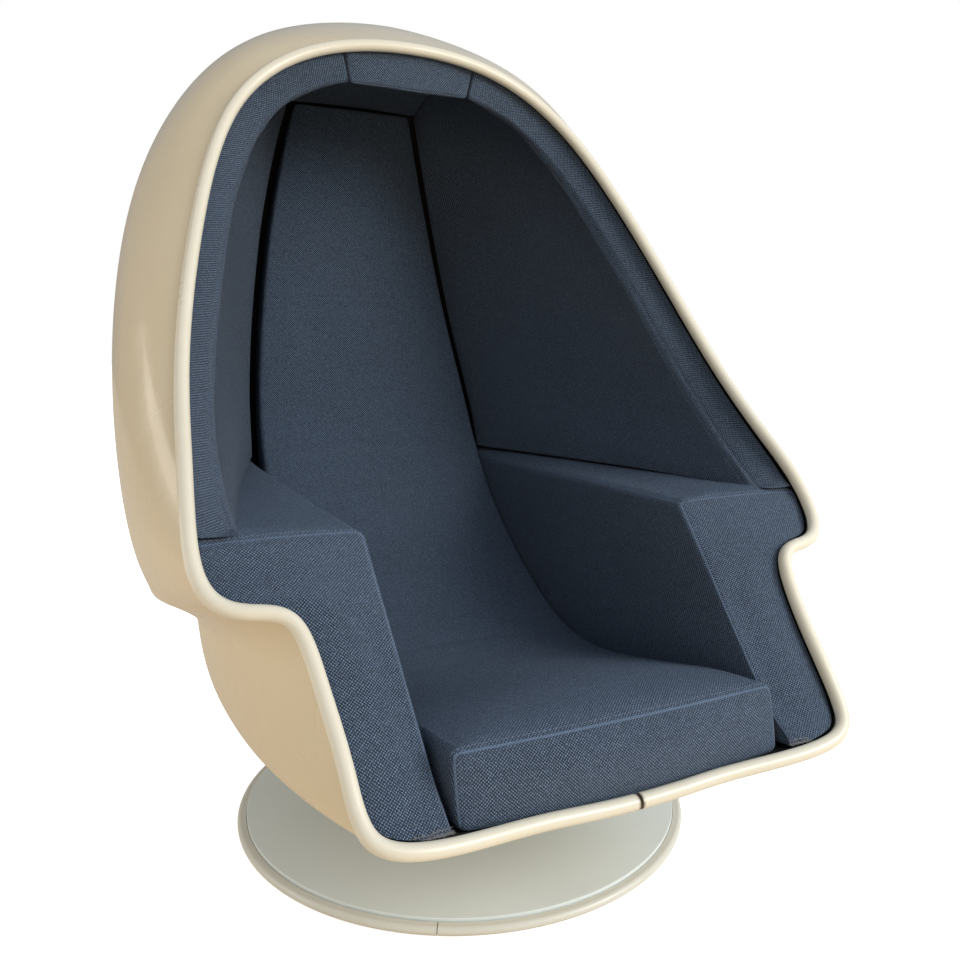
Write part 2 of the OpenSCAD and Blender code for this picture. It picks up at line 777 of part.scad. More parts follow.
module pod_plate() {
  color(steel_colour)
    difference() {
      disc(pod_plate_d, flat_z - pod_plate_t, flat_z);
      bolt_holes(pod_bolt_ring_d, flat_z - pod_plate_t, flat_z);
    }
}
module pod_plate_bolts() {
  color(steel_colour)
    bolt_ring(pod_bolt_ring_d) bolt(flat_z - pod_plate_t, board_top_z - gap);
}
module inner_mount_board() {
  color(board_colour)
    difference() {
      disc(pod_plate_d, floor_z, board_top_z);
      bolt_holes(pod_bolt_ring_d, floor_z, board_top_z);
    }
}

base_felt_ring();
base_core_board();
base_top_plate();
base_edge_trim();
column_with_flange();
flange_bolts();
column_bush();
thrust_washer();
swivel_spindle();
retaining_ring();
pod_plate();
pod_plate_bolts();
inner_mount_board();
pod_shell();
rim_bead();
hood_pad_left();
hood_pad_top();
hood_pad_right();
hood_board_left();
hood_board_right();
arm_pad_left();
arm_pad_right();
seat_deck();
seat_back_cushion();
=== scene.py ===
"""Dresses the swivelling pod chair: shell, bead, lining, arms, cushion, base and stage."""

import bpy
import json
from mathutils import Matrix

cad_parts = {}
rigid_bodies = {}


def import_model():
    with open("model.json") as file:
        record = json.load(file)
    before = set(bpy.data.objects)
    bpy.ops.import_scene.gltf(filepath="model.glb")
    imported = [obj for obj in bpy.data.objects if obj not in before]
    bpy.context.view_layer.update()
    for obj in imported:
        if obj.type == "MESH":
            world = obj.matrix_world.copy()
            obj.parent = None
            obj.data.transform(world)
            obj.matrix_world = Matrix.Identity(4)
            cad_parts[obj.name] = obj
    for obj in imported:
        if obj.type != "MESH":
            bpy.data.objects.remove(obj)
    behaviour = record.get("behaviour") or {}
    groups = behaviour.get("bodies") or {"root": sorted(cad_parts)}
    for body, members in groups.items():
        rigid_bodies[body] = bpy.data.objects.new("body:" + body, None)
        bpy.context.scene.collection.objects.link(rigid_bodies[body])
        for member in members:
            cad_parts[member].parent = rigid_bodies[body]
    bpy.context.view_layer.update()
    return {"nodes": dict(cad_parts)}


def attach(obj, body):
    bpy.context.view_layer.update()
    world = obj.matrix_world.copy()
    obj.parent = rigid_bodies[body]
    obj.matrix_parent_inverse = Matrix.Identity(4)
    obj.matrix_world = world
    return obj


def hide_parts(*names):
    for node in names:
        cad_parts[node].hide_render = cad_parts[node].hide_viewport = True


bl_info = {
    "name": "Pod chair dresser",
    "version": (1, 0, 0),
    "blender": (4, 5, 0),
    "location": "View3D > Sidebar > Pod Chair",
    "description": "Builds the upholstered pod chair's visible pieces around its solids",
    "category": "Add Mesh",
}

import json
import math

import bmesh
import bpy
import numpy as np
from bpy.props import FloatProperty, FloatVectorProperty, IntProperty, PointerProperty
from mathutils import Matrix, Vector, noise
from mathutils.kdtree import KDTree

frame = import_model()
MM = 0.001

# ---------------------------------------------------------------- shares of the named sizes
# Control points of the rim's right half, from the top centre to the bottom centre: shares of
# its half width, of its reach from the front, and of its height.
RIM_SHARES = (
    (0, 1.004, 1.006), (0.37, 1.018, 0.991), (0.693, 0.993, 0.895), (0.862, 0.788, 0.67),
    (0.948, 0.628, 0.501), (0.977, 0.468, 0.391), (0.995, 0.379, 0.336), (1.002, 0.312, 0.276),
    (0.959, 0.275, 0.243), (0.878, 0.259, 0.234), (0.771, 0.253, 0.232), (0.752, 0.182, 0.165),
    (0.733, 0.091, 0.1), (0.734, 0.023, 0.036), (0.602, 0.004, 0.023), (0.429, 0.02, 0.015),
    (0.269, 0.031, 0.011), (0.145, 0.03, 0.007), (0, 0.031, 0.005),
)
# The shell's middle line over the crown and under to the rim: shares of length and height.
SPINE_SHARES = (
    (0.755, 1.032), (1.005, 0.972), (1.01, 0.445), (0.925, 0.22),
    (0.88, 0.14), (0.755, 0.055), (0.565, -0.015), (0.255, -0.01),
)
HOOD_WIDE_SHARES = (0.655, 0.964, 1.005, 0.965, 0.915, 0.91, 0.86, 0.6)
TUB_WIDE_SHARES = (0.6, 0.85, 0.86, 0.86, 0.79, 0.83, 0.64, 0.36)
LEDGE_SHARE, LEDGE_SOFT_SHARE = 0.562, 0.032
LEAD_SHARES = (0.14, 0.3, 0.35, 0.46, 0.35)
FULLNESS_SHARES = (1.5, 2.4, 2.65, 2.35, 2)
# The shell's section straight behind the rim, and the step for directions along the curves.
FRONT_SHARE, STEP_SHARE = 0.35, 0.004
# The long cushion: its path, its width and how it thins.
SEAT_SHARES = ((0, 1), (0.1, 0.85), (0.22, 0.43), (0.35, 0.05), (0.47, -0.06))
REST_SHARES = (
    (0.585, 0.04), (0.705, 0.115), (0.805, 0.2), (0.885, 0.3), (0.935, 0.43),
    (0.985, 0.59), (1.004, 0.78), (0.998, 0.9), (0.985, 1),
)
CUSHION_WIDE_SHARES = (
    0.977, 0.977, 0.978, 0.98, 0.985, 0.99, 0.995, 1, 1, 0.965, 0.865, 0.735, 0.62, 0.525,
)
SEAT_THIN_SHARES = (0, 0, 0.6, 1, 1)
REST_THIN_SHARES = (1, 1, 1, 1, 1, 0.97, 0.85, 0.6, 0.4)
# The arms: where their top falls towards the seat, and by how much of the drop.
ARM_ACROSS_SHARES = (0, 0.16, 0.45, 0.75, 0.93, 1)
ARM_FALL_SHARES = (0, 0.02, 0.1, 0.22, 0.35, 0.6)
SEAM_SEARCH, ARM_SEARCH, ARM_LOW_SEARCH, ARM_REACH = (0, 0.2), (0.2, 0.45), (0.6, 0.9), 0.12
ARM_PATH_SHARE = 0.635
# The arms: thinnest parts, space to the seat, set-back and toe of the front, and where each ends.
ARM_BACK_T, ARM_LOW_T, ARM_SEAT_GAP = 12 * MM, 20 * MM, 2 * MM
ARM_SET_BACK, ARM_SET_BACK_END, ARM_SET_BACK_LOSS, ARM_TOE = 22 * MM, 0.72, 0.55, 5 * MM
ARM_STRAIGHT_SHARE, ARM_FRONT_SHARE, ARM_OUTER_SHARE, ARM_FALL_END = 0.6, 0.04, 0.4, 0.22
ARM_TOE_START = 5 / 6
# The hood pads: spaces to one another and round the cushion, rise and bow, and their far edge.
PAD_GAP, PAD_SIDE_GAP, PAD_BACK_GAP, PAD_TOP_GAP = 0.4 * MM, 12 * MM, 24 * MM, 8 * MM
PAD_TOP_RISE, PAD_LOW_BOW, PAD_FAR_SHARES, PAD_LIFT_START = 3 * MM, 10 * MM, (0.43, 0.235), 13 / 14
ROOF_BLEND_SHARE = 0.02
# The pads' blocks: nominal sizes, rounded edges (one or first and last) and steps per axis.
CUSHION_EDGES = ((9 * MM, 12 * MM), 14 * MM, (10 * MM, 7 * MM))
CUSHION_STEPS = (12 * MM, 12 * MM, 11 * MM)
ARM_SIZE, ARM_STEPS = (0.36, 0.2, 0.85), (13 * MM, 12 * MM, 14 * MM)
ARM_EDGES = ((11 * MM, 5 * MM), (8 * MM, 15 * MM), 9 * MM)
ARM_PLAIN_SIDES = {4: ((1, 0, 0), (0, -0.68, -0.735))}
HOOD_SIZE, HOOD_STEPS = (0.92, 0.42), (14 * MM, 13 * MM, 11 * MM)
HOOD_EDGES = (5 * MM, 13 * MM, (5 * MM, 13 * MM))
ROOF_SIZE, ROOF_STEPS = (0.25, 0.42), (9 * MM, 10 * MM, 11 * MM)
ROOF_EDGES = (7 * MM, 9 * MM, (5 * MM, 9 * MM))
# The bolts: radii of both rings, lengths of the shanks, the head and the shank's undersize.
FLANGE_RING_R, FLANGE_BOLT, POD_PLATE_RING_R, POD_PLATE_BOLT = (
    70 * MM, 24.6 * MM, 80 * MM, 23.8 * MM
)
BOLT_HEAD, BOLT_ACROSS, THREAD_UNDER = 6.5 * MM, 16 * MM, 0.1 * MM
# How finely the shell and bead are built, and how uneven the pads are.
SHELL_ROWS, SHELL_COLUMNS, BEAD_ROWS, BEAD_JOINT_START = 250, 132, 430, 0.985
UNEVEN_T, UNEVEN_PITCH, SEAM_STEP = 0.9 * MM, 0.11, 1.5 * MM
# How far the pads' fronts lean with the shell, and where the seat's front hangs lower.
PAD_LEAN_SHARE, SEAT_BELLY_SHARE, CROWN_SHARE, ROOF_SAG_SHARE = 0.1, 0.05, 0.1, 0.2


def length_value(title, words, metres):
    """A length that a user may change, in metres."""
    return FloatProperty(
        name=title, description=words, default=metres, min=0.0, precision=4, unit="LENGTH"
    )


def colour_value(title, words, colour):
    """A linear colour that a user may change."""
    return FloatVectorProperty(
        name=title, description=words, default=colour, size=3, min=0.0, max=1.0, subtype="COLOR"
    )


class PodChairSizes(bpy.types.PropertyGroup):
    """Sizes of the visible pieces, the same as the solids' own."""

    pod_half_w: length_value("Half width", "Half of the widest part of the shell", 0.512)
    pod_front: length_value("Front reach", "Shell in front of the swivel axis", 0.525)
    pod_back: length_value("Back reach", "Shell behind the swivel axis", 0.645)
    pod_low: length_value("Underside", "Height of the underside before its flat", 0.158)
    pod_top: length_value("Crown", "Height of the crown of the hood", 1.340)
    foot_flat: length_value("Foot flat", "Depth of the flat moulded underneath", 0.018)
    shell_wall: length_value("Wall", "Thickness of the moulded wall", 0.005)
    rim_half_w: length_value("Rim half width", "Half of the opening's widest part", 0.460)
    rim_top_y: length_value("Rim lean", "Top of the opening behind the swivel axis", 0.182)
    rim_low_z: length_value("Lip height", "Height of the lip under the seat", 0.230)
    rim_top_z: length_value("Rim top", "Height of the top of the opening", 1.260)
    bead_w: length_value("Bead width", "Width of the bead round the rim", 0.019)
    bead_h: length_value("Bead rise", "How far the bead stands off the shell's edge", 0.0106)
    bead_joint: length_value("Bead joint", "Gap between the bead's ends", 0.004)
    hood_pad_t: length_value("Hood pad", "Thickness of the hood pads", 0.054)
    hood_bow: length_value("Side bow", "Bow of the side pads", 0.034)
    roof_bow: length_value("Roof bow", "Bow of the roof pad", 0.046)
    roof_half_w: length_value("Roof half width", "Half width of the roof pad at the rim", 0.119)
    arm_top_z: length_value("Arm height", "Height of the arm tops along the lining", 0.546)
    arm_drop: length_value("Arm drop", "How far the arm tops fall to the seat", 0.020)
    arm_lean: length_value("Arm lean", "How far the arms open at the front", 0.010)
    seat_half_w: length_value("Seat half width", "Half of the cushion's widest part", 0.232)
    seat_front_z: length_value("Seat front", "Height of the seat's front edge", 0.337)
    seat_dip_z: length_value("Seat dip", "Height of the lowest part of the seat", 0.258)
    seat_front_y: length_value("Seat reach", "Seat's front edge ahead of the axis", 0.479)
    rest_y: length_value("Backrest depth", "Backrest's front behind the axis", 0.548)
    rest_top_z: length_value("Backrest top", "Height of the top of the backrest", 1.238)
    seat_front_t: length_value("Seat front thickness", "Thickness at the seat's front", 0.088)
    seat_dip_t: length_value("Seat dip thickness", "Thickness at the seat's dip", 0.057)
    rest_t: length_value("Backrest thickness", "Thickness of the backrest", 0.058)
    cushion_crown: length_value("Crown of the cushion", "Rise of its middle", 0.014)
    base_d: length_value("Base", "Diameter of the base over its edge moulding", 0.740)
    base_h: length_value("Base height", "Height of the base's top plate", 0.019)
    base_plate_t: length_value("Plate", "Thickness of the top plate", 0.006)
    base_trim_w: length_value("Edge moulding", "Width of the moulding from above", 0.014)
    flange_t: length_value("Flange thickness", "Thickness of the column's flange", 0.008)
    pod_plate_t: length_value("Pod plate thickness", "Thickness of that plate", 0.006)
    bolt_d: length_value("Bolts", "Diameter of the bolts", 0.010)
    lining_gap: length_value("Lining gap", "Space between lining and shell", 0.006)
    lining_set: length_value("Lining set-back", "Lining behind the rim", 0.004)
    bead_seat: length_value("Bead bed", "Adhesive bed under the bead", 0.0018)


class PodChairLooks(bpy.types.PropertyGroup):
    """Colours and textures of the visible pieces."""

    shell_colour: colour_value("Shell", "Ivory gelcoat", (0.640, 0.525, 0.345))
    bead_colour: colour_value("Bead", "Cream vinyl bead", (0.710, 0.640, 0.495))
    fabric_dark: colour_value("Weft", "Darker yarn of the weave", (0.012, 0.017, 0.026))
    fabric_light: colour_value("Warp", "Lighter yarn of the weave", (0.205, 0.285, 0.400))
    plate_colour: colour_value("Base plate", "Pale laminate", (0.680, 0.725, 0.685))
    trim_colour: colour_value("Edge moulding", "Cream vinyl", (0.630, 0.620, 0.540))
    weave_pitch: length_value("Weave pitch", "Width of one crossing of the weave", 0.0021)
    stitch_length: length_value("Stitch", "Length of one stitch", 0.0048)
    stitch_gap: length_value("Stitch gap", "Gap between two stitches", 0.0020)
    thread_d: length_value("Thread", "Thickness of the sewing thread", 0.0011)
    crease_place: length_value(
        "Crease", "Place of the back's crease along the cushion, from its front", 1.338)
    puff: length_value("Puff", "How far the fabric may swell off the foam", 0.006)
    pressure: FloatProperty(
        name="Foam pressure", description="Pressure in the padded pieces", default=4.0, min=0.0
    )
    settle_frames: IntProperty(
        name="Settling frames", description="Frames the fabric settles for", default=20, min=1
    )


# ---------------------------------------------------------------- curves
def unit(vectors):
    return vectors / np.linalg.norm(vectors, axis=-1, keepdims=True)


def mix(a, b, t):
    return a + (b - a) * t


def ease(t):
    c = np.clip(t, 0.0, 1.0)
    return c * c * (3 - 2 * c)


def late(t, start):
    """Rises smoothly from 0 at start to 1 at the end."""
    return ease((t - start) / (1 - start))


def arrays(*values):
    """The values as float arrays of one common shape."""
    return np.broadcast_arrays(*(np.asarray(value, float) for value in values))


def spline(points, s):
    """A cubic B-spline with one extra control point at each end; s runs from 0 to 1."""
    points, s = np.asarray(points, float), np.asarray(s, float)
    spans = len(points) - 3
    t = s * spans
    i = np.clip(np.floor(t).astype(int), 0, spans - 1)
    u = t - i
    w = 1 - u
    weights = np.stack(
        [w**3, 3 * u**3 - 6 * u * u + 4, 3 * w**3 - 6 * w * w + 4, u**3], -1
    ) / 6
    picked = points[i[..., None] + np.arange(4)]
    if points.ndim == 1:
        return (weights * picked).sum(-1)
    return (weights[..., None] * picked).sum(-2)


def open_ends(points):
    points = np.asarray(points, float)
    return np.concatenate(
        [[2 * points[0] - points[1]], points, [2 * points[-1] - points[-2]]]
    )


def root(rule, a, b):
    """Where rule changes sign between a and b, elementwise; rule is above zero at a."""
    a, b = np.array(a, float), np.array(b, float)
    for _ in range(22):
        m = (a + b) / 2
        high = rule(m) > 0
        a, b = np.where(high, m, a), np.where(high, b, m)
    return (a + b) / 2


class PodForm:
    """The pod's curves and surfaces, worked out from the sizes, in metres."""

    def __init__(self, sizes):
        z = self.z = sizes
        length, height = z.pod_front + z.pod_back, z.pod_top - z.pod_low
        self.flat_z = z.pod_low + z.foot_flat
        self.lining_depth = z.shell_wall + z.lining_gap
        rim = [
            (a * z.rim_half_w, b * (z.pod_front + z.rim_top_y) - z.pod_front,
             mix(z.rim_low_z, z.rim_top_z, c))
            for a, b, c in RIM_SHARES
        ]
        rim = np.array(rim)
        self.rim_line = np.array([rim[1] * (-1, 1, 1), *rim, rim[-2] * (-1, 1, 1)])
        ends = self.rim(np.array([0.0, 1.0]))[:, 1:]
        spine = [(b * length - z.pod_front, z.pod_low + c * height) for b, c in SPINE_SHARES]
        self.spine_line = open_ends([ends[0], *spine, ends[1]])
        self.hood_wide = self.closed_ends(HOOD_WIDE_SHARES)
        self.tub_wide = self.closed_ends(TUB_WIDE_SHARES)
        self.lead_line = open_ends(LEAD_SHARES)
        self.full_line = open_ends(FULLNESS_SHARES)
        reach = z.seat_front_y + z.rest_y
        self.path = open_ends(
            [(a * reach - z.seat_front_y, mix(z.seat_dip_z, z.seat_front_z, b))
             for a, b in SEAT_SHARES]
            + [(a * reach - z.seat_front_y, mix(z.seat_dip_z, z.rest_top_z, b))
               for a, b in REST_SHARES]
        )
        self.path_reach = reach
        self.cushion_wide = open_ends(np.array(CUSHION_WIDE_SHARES) * z.seat_half_w)
        self.cushion_thick = open_ends(
            [mix(z.seat_front_t, z.seat_dip_t, a) for a in SEAT_THIN_SHARES]
            + [a * z.rest_t for a in REST_THIN_SHARES]
        )
        self.seam_s = float(root(lambda s: z.roof_half_w - self.rim(s)[..., 0], *SEAM_SEARCH))
        self.arm_s = float(root(lambda s: self.rim(s)[..., 2] - z.arm_top_z, *ARM_SEARCH))
        self.arm_low_s = float(root(
            lambda s: self.rim(s)[..., 0] - self.lining_depth - z.seat_half_w - ARM_LOW_T,
            *ARM_LOW_SEARCH,
        ))

    def closed_ends(self, shares):
        return np.array([-shares[0], 0, *shares, 0, -shares[-1]]) * self.z.pod_half_w

    def rim(self, s):
        return spline(self.rim_line, s)

    def half_width(self, s):
        lower = ease((s - LEDGE_SHARE + LEDGE_SOFT_SHARE) / (2 * LEDGE_SOFT_SHARE))
        return mix(spline(self.hood_wide, s), spline(self.tub_wide, s), lower)

    def point(self, s, v):
        """The shell's outer surface: v is 0 at the right rim, 1 in the middle, 2 at the left."""
        s, v = arrays(s, v)
        rim, middle = self.rim(s), spline(self.spine_line, s)
        wide = np.maximum(rim[..., 0], self.half_width(s))
        lead, full = spline(self.lead_line, s), spline(self.full_line, s)
        h = np.minimum(v, 2 - v)
        g = h / FRONT_SHARE
        turn = (math.pi / 2) * np.clip((h - FRONT_SHARE) / (1 - FRONT_SHARE), 0, 1)
        ahead = h < FRONT_SHARE
        back = np.where(ahead, lead * g, lead + (1 - lead) * np.sin(turn) ** (2 / full))
        behind_x = wide * np.clip(np.cos(turn), 0, 1) ** (2 / full)
        x = np.where(ahead, wide - (wide - rim[..., 0]) * (1 - g) ** 2, behind_x)
        x = np.where(h >= 1, 0.0, x) * np.where(v > 1, -1.0, 1.0)
        y = mix(rim[..., 1], middle[..., 0], back)
        z = mix(rim[..., 2], middle[..., 1], back)
        return np.stack([x, y, z], -1)

    def normal(self, s, v):
        s, v = arrays(s, v)
        q = np.clip(s, STEP_SHARE, 1 - STEP_SHARE)
        low, high = np.maximum(v - STEP_SHARE, 0), np.minimum(v + STEP_SHARE, 2)
        along = self.point(q + STEP_SHARE, v) - self.point(q - STEP_SHARE, v)
        return unit(np.cross(along, self.point(q, high) - self.point(q, low)))

    def under(self, s, v, depth):
        """A point inside the wall, depth under the outer surface and above the moulded flat."""
        p = self.point(s, v) - depth * self.normal(s, v)
        p[..., 2] = np.maximum(p[..., 2], self.flat_z + depth)
        return p

    def rim_frame(self, s):
        """The rim's place, outward direction and forward direction."""
        s = np.asarray(s, float)
        q = np.clip(s, STEP_SHARE, 1 - STEP_SHARE)
        ends = ((s <= 0) | (s >= 1))[..., None]
        side = self.normal(q, np.zeros_like(q))
        out = np.where(ends, unit(side * (0, 1, 1)), side)
        along = unit(self.rim(q + STEP_SHARE) - self.rim(q - STEP_SHARE))
        straight = (1 - 2 * s)[..., None] * np.array([1.0, 0, 0])
        along = np.where(ends, straight, along)
        return self.rim(s), out, unit(np.cross(along, out))

    def on_path(self, u, x, depth):
        """A point x to the side of the cushion's path and depth below its top edge."""
        u, x, depth = arrays(u, x, depth)
        p = spline(self.path, u)
        low, high = np.maximum(u - STEP_SHARE, 0), np.minimum(u + STEP_SHARE, 1)
        q = spline(self.path, high) - spline(self.path, low)
        up = unit(np.stack([-q[..., 1], q[..., 0]], -1))
        return np.stack([x, p[..., 0] - up[..., 0] * depth, p[..., 1] - up[..., 1] * depth], -1)

    def pad_front(self, place, out, ahead, depth):
        """A point on the pads' front faces, which face almost straight forward."""
        inward = unit(-out * (1, PAD_LEAN_SHARE, 1))
        behind = out * self.lining_depth + ahead * self.z.lining_set
        return place - behind + inward * depth[..., None]

    def hood_point(self, t, v, depth, lifted=True):
        """The right hood pad: t from roof seam to arm, v from rim to cushion, depth inwards."""
        z = self.z
        t, v, depth = arrays(t, v, depth)
        s = mix(self.seam_s, self.arm_s, t)
        near = self.pad_front(*self.rim_frame(s), depth)
        u = mix(1.0, ARM_PATH_SHARE, t)
        top = (1 - t) ** 3
        back = self.on_path(
            u, spline(self.cushion_wide, u) + PAD_SIDE_GAP, mix(PAD_BACK_GAP, PAD_TOP_GAP, top)
        )
        back[..., 2] += PAD_TOP_RISE * top
        slope = unit(self.rim(s + STEP_SHARE) - self.rim(s - STEP_SHARE))
        out = unit(np.cross(slope, back - near))
        far = back + out * ((z.hood_pad_t - depth) * mix(*PAD_FAR_SHARES, top))[..., None]
        bow = np.where(
            t < 0.5, mix(z.roof_bow, z.hood_bow, 2 * t), mix(z.hood_bow, PAD_LOW_BOW, 2 * t - 1)
        )
        p = mix(near, far, v[..., None]) + out * (bow * 4 * v * (1 - v))[..., None]
        if lifted:
            floor = z.arm_top_z + PAD_GAP
            low_end = self.hood_point(np.ones_like(t), v, depth, lifted=False)[..., 2]
            ramp = np.clip((t - PAD_LIFT_START) / (1 - PAD_LIFT_START), 0, 1)
            p[..., 2] = np.maximum(p[..., 2] + (floor - low_end) * ramp, floor)
        return p

    def roof_point(self, a, v, depth):
        """The roof pad: a from -1 to 1 across it, v from rim to backrest, depth inwards."""
        a, v, depth = arrays(a, v, depth)
        edge = self.hood_point(np.zeros_like(a), v, depth)
        middle, side = 1 - a * a, np.sign(a)
        near = self.pad_front(
            *self.rim_frame(np.abs(a) * self.seam_s), depth * (1 + ROOF_SAG_SHARE * middle)
        )
        corner = self.pad_front(*self.rim_frame(np.full_like(a, self.seam_s)), depth)
        rise = (PAD_TOP_RISE * middle)[..., None] * (0, 0, 1)
        p = edge + mix(near - corner, rise, v[..., None])
        blend = np.clip(v / ROOF_BLEND_SHARE, 0, 1)
        p[..., 0] = mix(side * near[..., 0], a * edge[..., 0], blend) - side * PAD_GAP
        return p

    def arm_face(self, p):
        """How far the arm's face beside the seat stands from the middle, at a point."""
        z = self.z
        high = np.clip((p[..., 2] - z.seat_dip_z) / (z.arm_top_z - z.seat_dip_z), 0, 1)
        fore = np.clip((z.rest_y - p[..., 1]) / self.path_reach, 0, 1)
        return z.seat_half_w + ARM_SEAT_GAP + z.arm_lean * high * fore

    def arm_point(self, down, deep, across):
        """A point of the right arm, whose inner edge runs straight down from the top."""
        down, deep, across = arrays(down, deep, across)
        p = self.arm_curve(down, deep, across)
        high = self.arm_curve(np.zeros_like(down), deep, across)
        low = self.arm_curve(np.full_like(down, ARM_STRAIGHT_SHARE), deep, across)
        line = mix(high, low, np.clip(down / ARM_STRAIGHT_SHARE, 0, 1)[..., None])
        return mix(p, line, np.where(down < ARM_STRAIGHT_SHARE, across**3, 0)[..., None])

    def arm_curve(self, down, deep, across):
        """The right arm: down from its top, deep from the front, across from shell to seat."""
        z, depth = self.z, self.lining_depth
        row_s = mix(self.arm_s, self.arm_low_s, down)

        def thin(v):
            p = self.under(row_s, v, depth)
            return p[..., 0] - self.arm_face(p) - ARM_BACK_T

        v = root(thin, np.full_like(row_s, FRONT_SHARE), np.ones_like(row_s)) * deep
        top = root(
            lambda s: self.under(s, v, depth)[..., 2] - z.arm_top_z + PAD_GAP,
            np.full_like(v, self.arm_s - ARM_REACH), np.full_like(v, self.arm_s + ARM_REACH),
        )
        s = mix(top, self.arm_low_s, down)
        p = self.under(s, v, depth)
        rim = np.clip(1 - across / ARM_OUTER_SHARE, 0, 1)
        rim = rim * np.clip(1 - deep / ARM_FRONT_SHARE, 0, 1)
        p -= self.rim_frame(s)[2] * (z.lining_set * rim)[..., None]
        p[..., 0] = mix(p[..., 0], self.arm_face(p), across)
        inner = across * (1 - deep)
        loss = ARM_SET_BACK_LOSS * late(down, ARM_SET_BACK_END)
        p[..., 1] += ARM_SET_BACK * (1 - loss) * inner
        fall = z.arm_drop * np.interp(across, ARM_ACROSS_SHARES, ARM_FALL_SHARES)
        p[..., 2] -= ARM_TOE * late(down, ARM_TOE_START) * inner
        p[..., 2] -= fall * (1 - ease(down / ARM_FALL_END))
        return p


# ---------------------------------------------------------------- meshes
def fresh(store, name, *details):
    """A new item of one of the file's stores, in the place of an earlier run's."""
    old = store.get(name)
    if old is not None:
        store.remove(old)
    return store.new(name, *details)


def placed(name, data):
    """A new object in the scene that shows the data."""
    made = fresh(bpy.data.objects, name, data)
    bpy.context.scene.collection.objects.link(made)
    return made


def make_mesh(name, points, quads, smooth_limit=None):
    """A mesh object of points and faces at the origin; edges sharper than the limit stay crisp."""
    mesh = bpy.data.meshes.new(name)
    mesh.from_pydata([tuple(p) for p in points], [], [tuple(int(i) for i in q) for q in quads])
    bm = bmesh.new()
    bm.from_mesh(mesh)
    bmesh.ops.remove_doubles(bm, verts=bm.verts, dist=1e-6)
    bmesh.ops.recalc_face_normals(bm, faces=bm.faces)
    if bm.calc_volume(signed=True) < 0:
        bmesh.ops.reverse_faces(bm, faces=bm.faces)
    for face in bm.faces:
        face.smooth = True
    if smooth_limit is not None:
        for edge in bm.edges:
            edge.smooth = edge.calc_face_angle(0.0) < math.radians(smooth_limit)
    bm.to_mesh(mesh)
    bm.free()
    return placed(name, mesh)


def coat(piece, material):
    """Puts one material on a piece in place of all others."""
    piece.data.materials.clear()
    piece.data.materials.append(material)


def dress(piece, material, slot, body, *nodes):
    """Gives a finished piece its material and its body and hides the nodes it stands for; the slot
    is not used.
    """
    coat(piece, material)
    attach(piece, body)
    if nodes:
        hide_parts(*nodes)


def coat_nodes(material, *nodes):
    """Puts a material on nodes that are shown as they were packed."""
    for node in nodes:
        coat(frame["nodes"][node], material)


def frozen(piece):
    """Turns a piece with live modifiers into a plain mesh."""
    bpy.context.view_layer.update()
    graph = bpy.context.evaluated_depsgraph_get()
    made = bpy.data.meshes.new_from_object(
        piece.evaluated_get(graph), preserve_all_data_layers=True, depsgraph=graph
    )
    piece.modifiers.clear()
    old = piece.data
    piece.data = made
    bpy.data.meshes.remove(old)
    made.name = piece.name


def coordinates(mesh):
    flat = np.zeros(len(mesh.vertices) * 3)
    mesh.vertices.foreach_get("co", flat)
    return flat.reshape(-1, 3)


def set_coordinates(mesh, points):
    mesh.vertices.foreach_set("co", np.asarray(points, np.float32).ravel())
    mesh.update()


def vertex_normals(mesh):
    flat = np.zeros(len(mesh.vertices) * 3, np.float32)
    mesh.vertex_normals.foreach_get("vector", flat)
    return flat.reshape(-1, 3).astype(float)


def point_values(mesh, name, values):
    layer = mesh.attributes.get(name) or mesh.attributes.new(name, "FLOAT", "POINT")
    layer.data.foreach_set("value", np.asarray(values, np.float32))


def lathe(name, profile, sides, limit=32):
    """A closed ring or disc turned from a closed profile of (radius, height) points."""
    turns = np.linspace(0, 2 * math.pi, sides, endpoint=False)[:, None]
    radii, heights = np.asarray(profile, float).T
    turned = np.stack(arrays(radii * np.cos(turns), radii * np.sin(turns), heights), -1)
    n = len(radii)
    quads = []
    for i in range(sides):
        for k in range(n):
            after, beyond = (k + 1) % n, (i + 1) % sides * n
            if radii[k] > 1e-9 or radii[after] > 1e-9:
                quads.append((i * n + k, beyond + k, beyond + after, i * n + after))
    return make_mesh(name, turned.reshape(-1, 3), quads, limit)


def rounded_profile(corners, radii, steps=5):
    """A closed profile with each of its corners rounded by its own radius."""
    corners = np.asarray(corners, float)
    out = []
    for i, (corner, radius) in enumerate(zip(corners, radii)):
        before, after = corners[i - 1] - corner, corners[(i + 1) % len(corners)] - corner
        if radius <= 0:
            out.append(corner)
            continue
        a, b = before / np.linalg.norm(before), after / np.linalg.norm(after)
        half = math.acos(np.clip(a @ b, -1, 1)) / 2
        start, end = corner + a * radius / math.tan(half), corner + b * radius / math.tan(half)
        centre = corner + (a + b) / np.linalg.norm(a + b) * radius / math.sin(half)
        for t in np.linspace(0, 1, steps):
            out.append(centre + radius * unit(mix(start, end, t) - centre))
    return out


# ---------------------------------------------------------------- padded blocks
def stations(length, edges, step, fine=4):
    """Places along a side: close together near either end, then about step apart."""
    low, high = edges
    count = max(2, int(round((length - low - high) / step)) + 1)
    middle = np.linspace(low, length - high, count)
    first, last = np.linspace(0, low, fine + 1), np.linspace(length - high, length, fine + 1)
    return np.concatenate([first[:-1], middle, last[1:]])


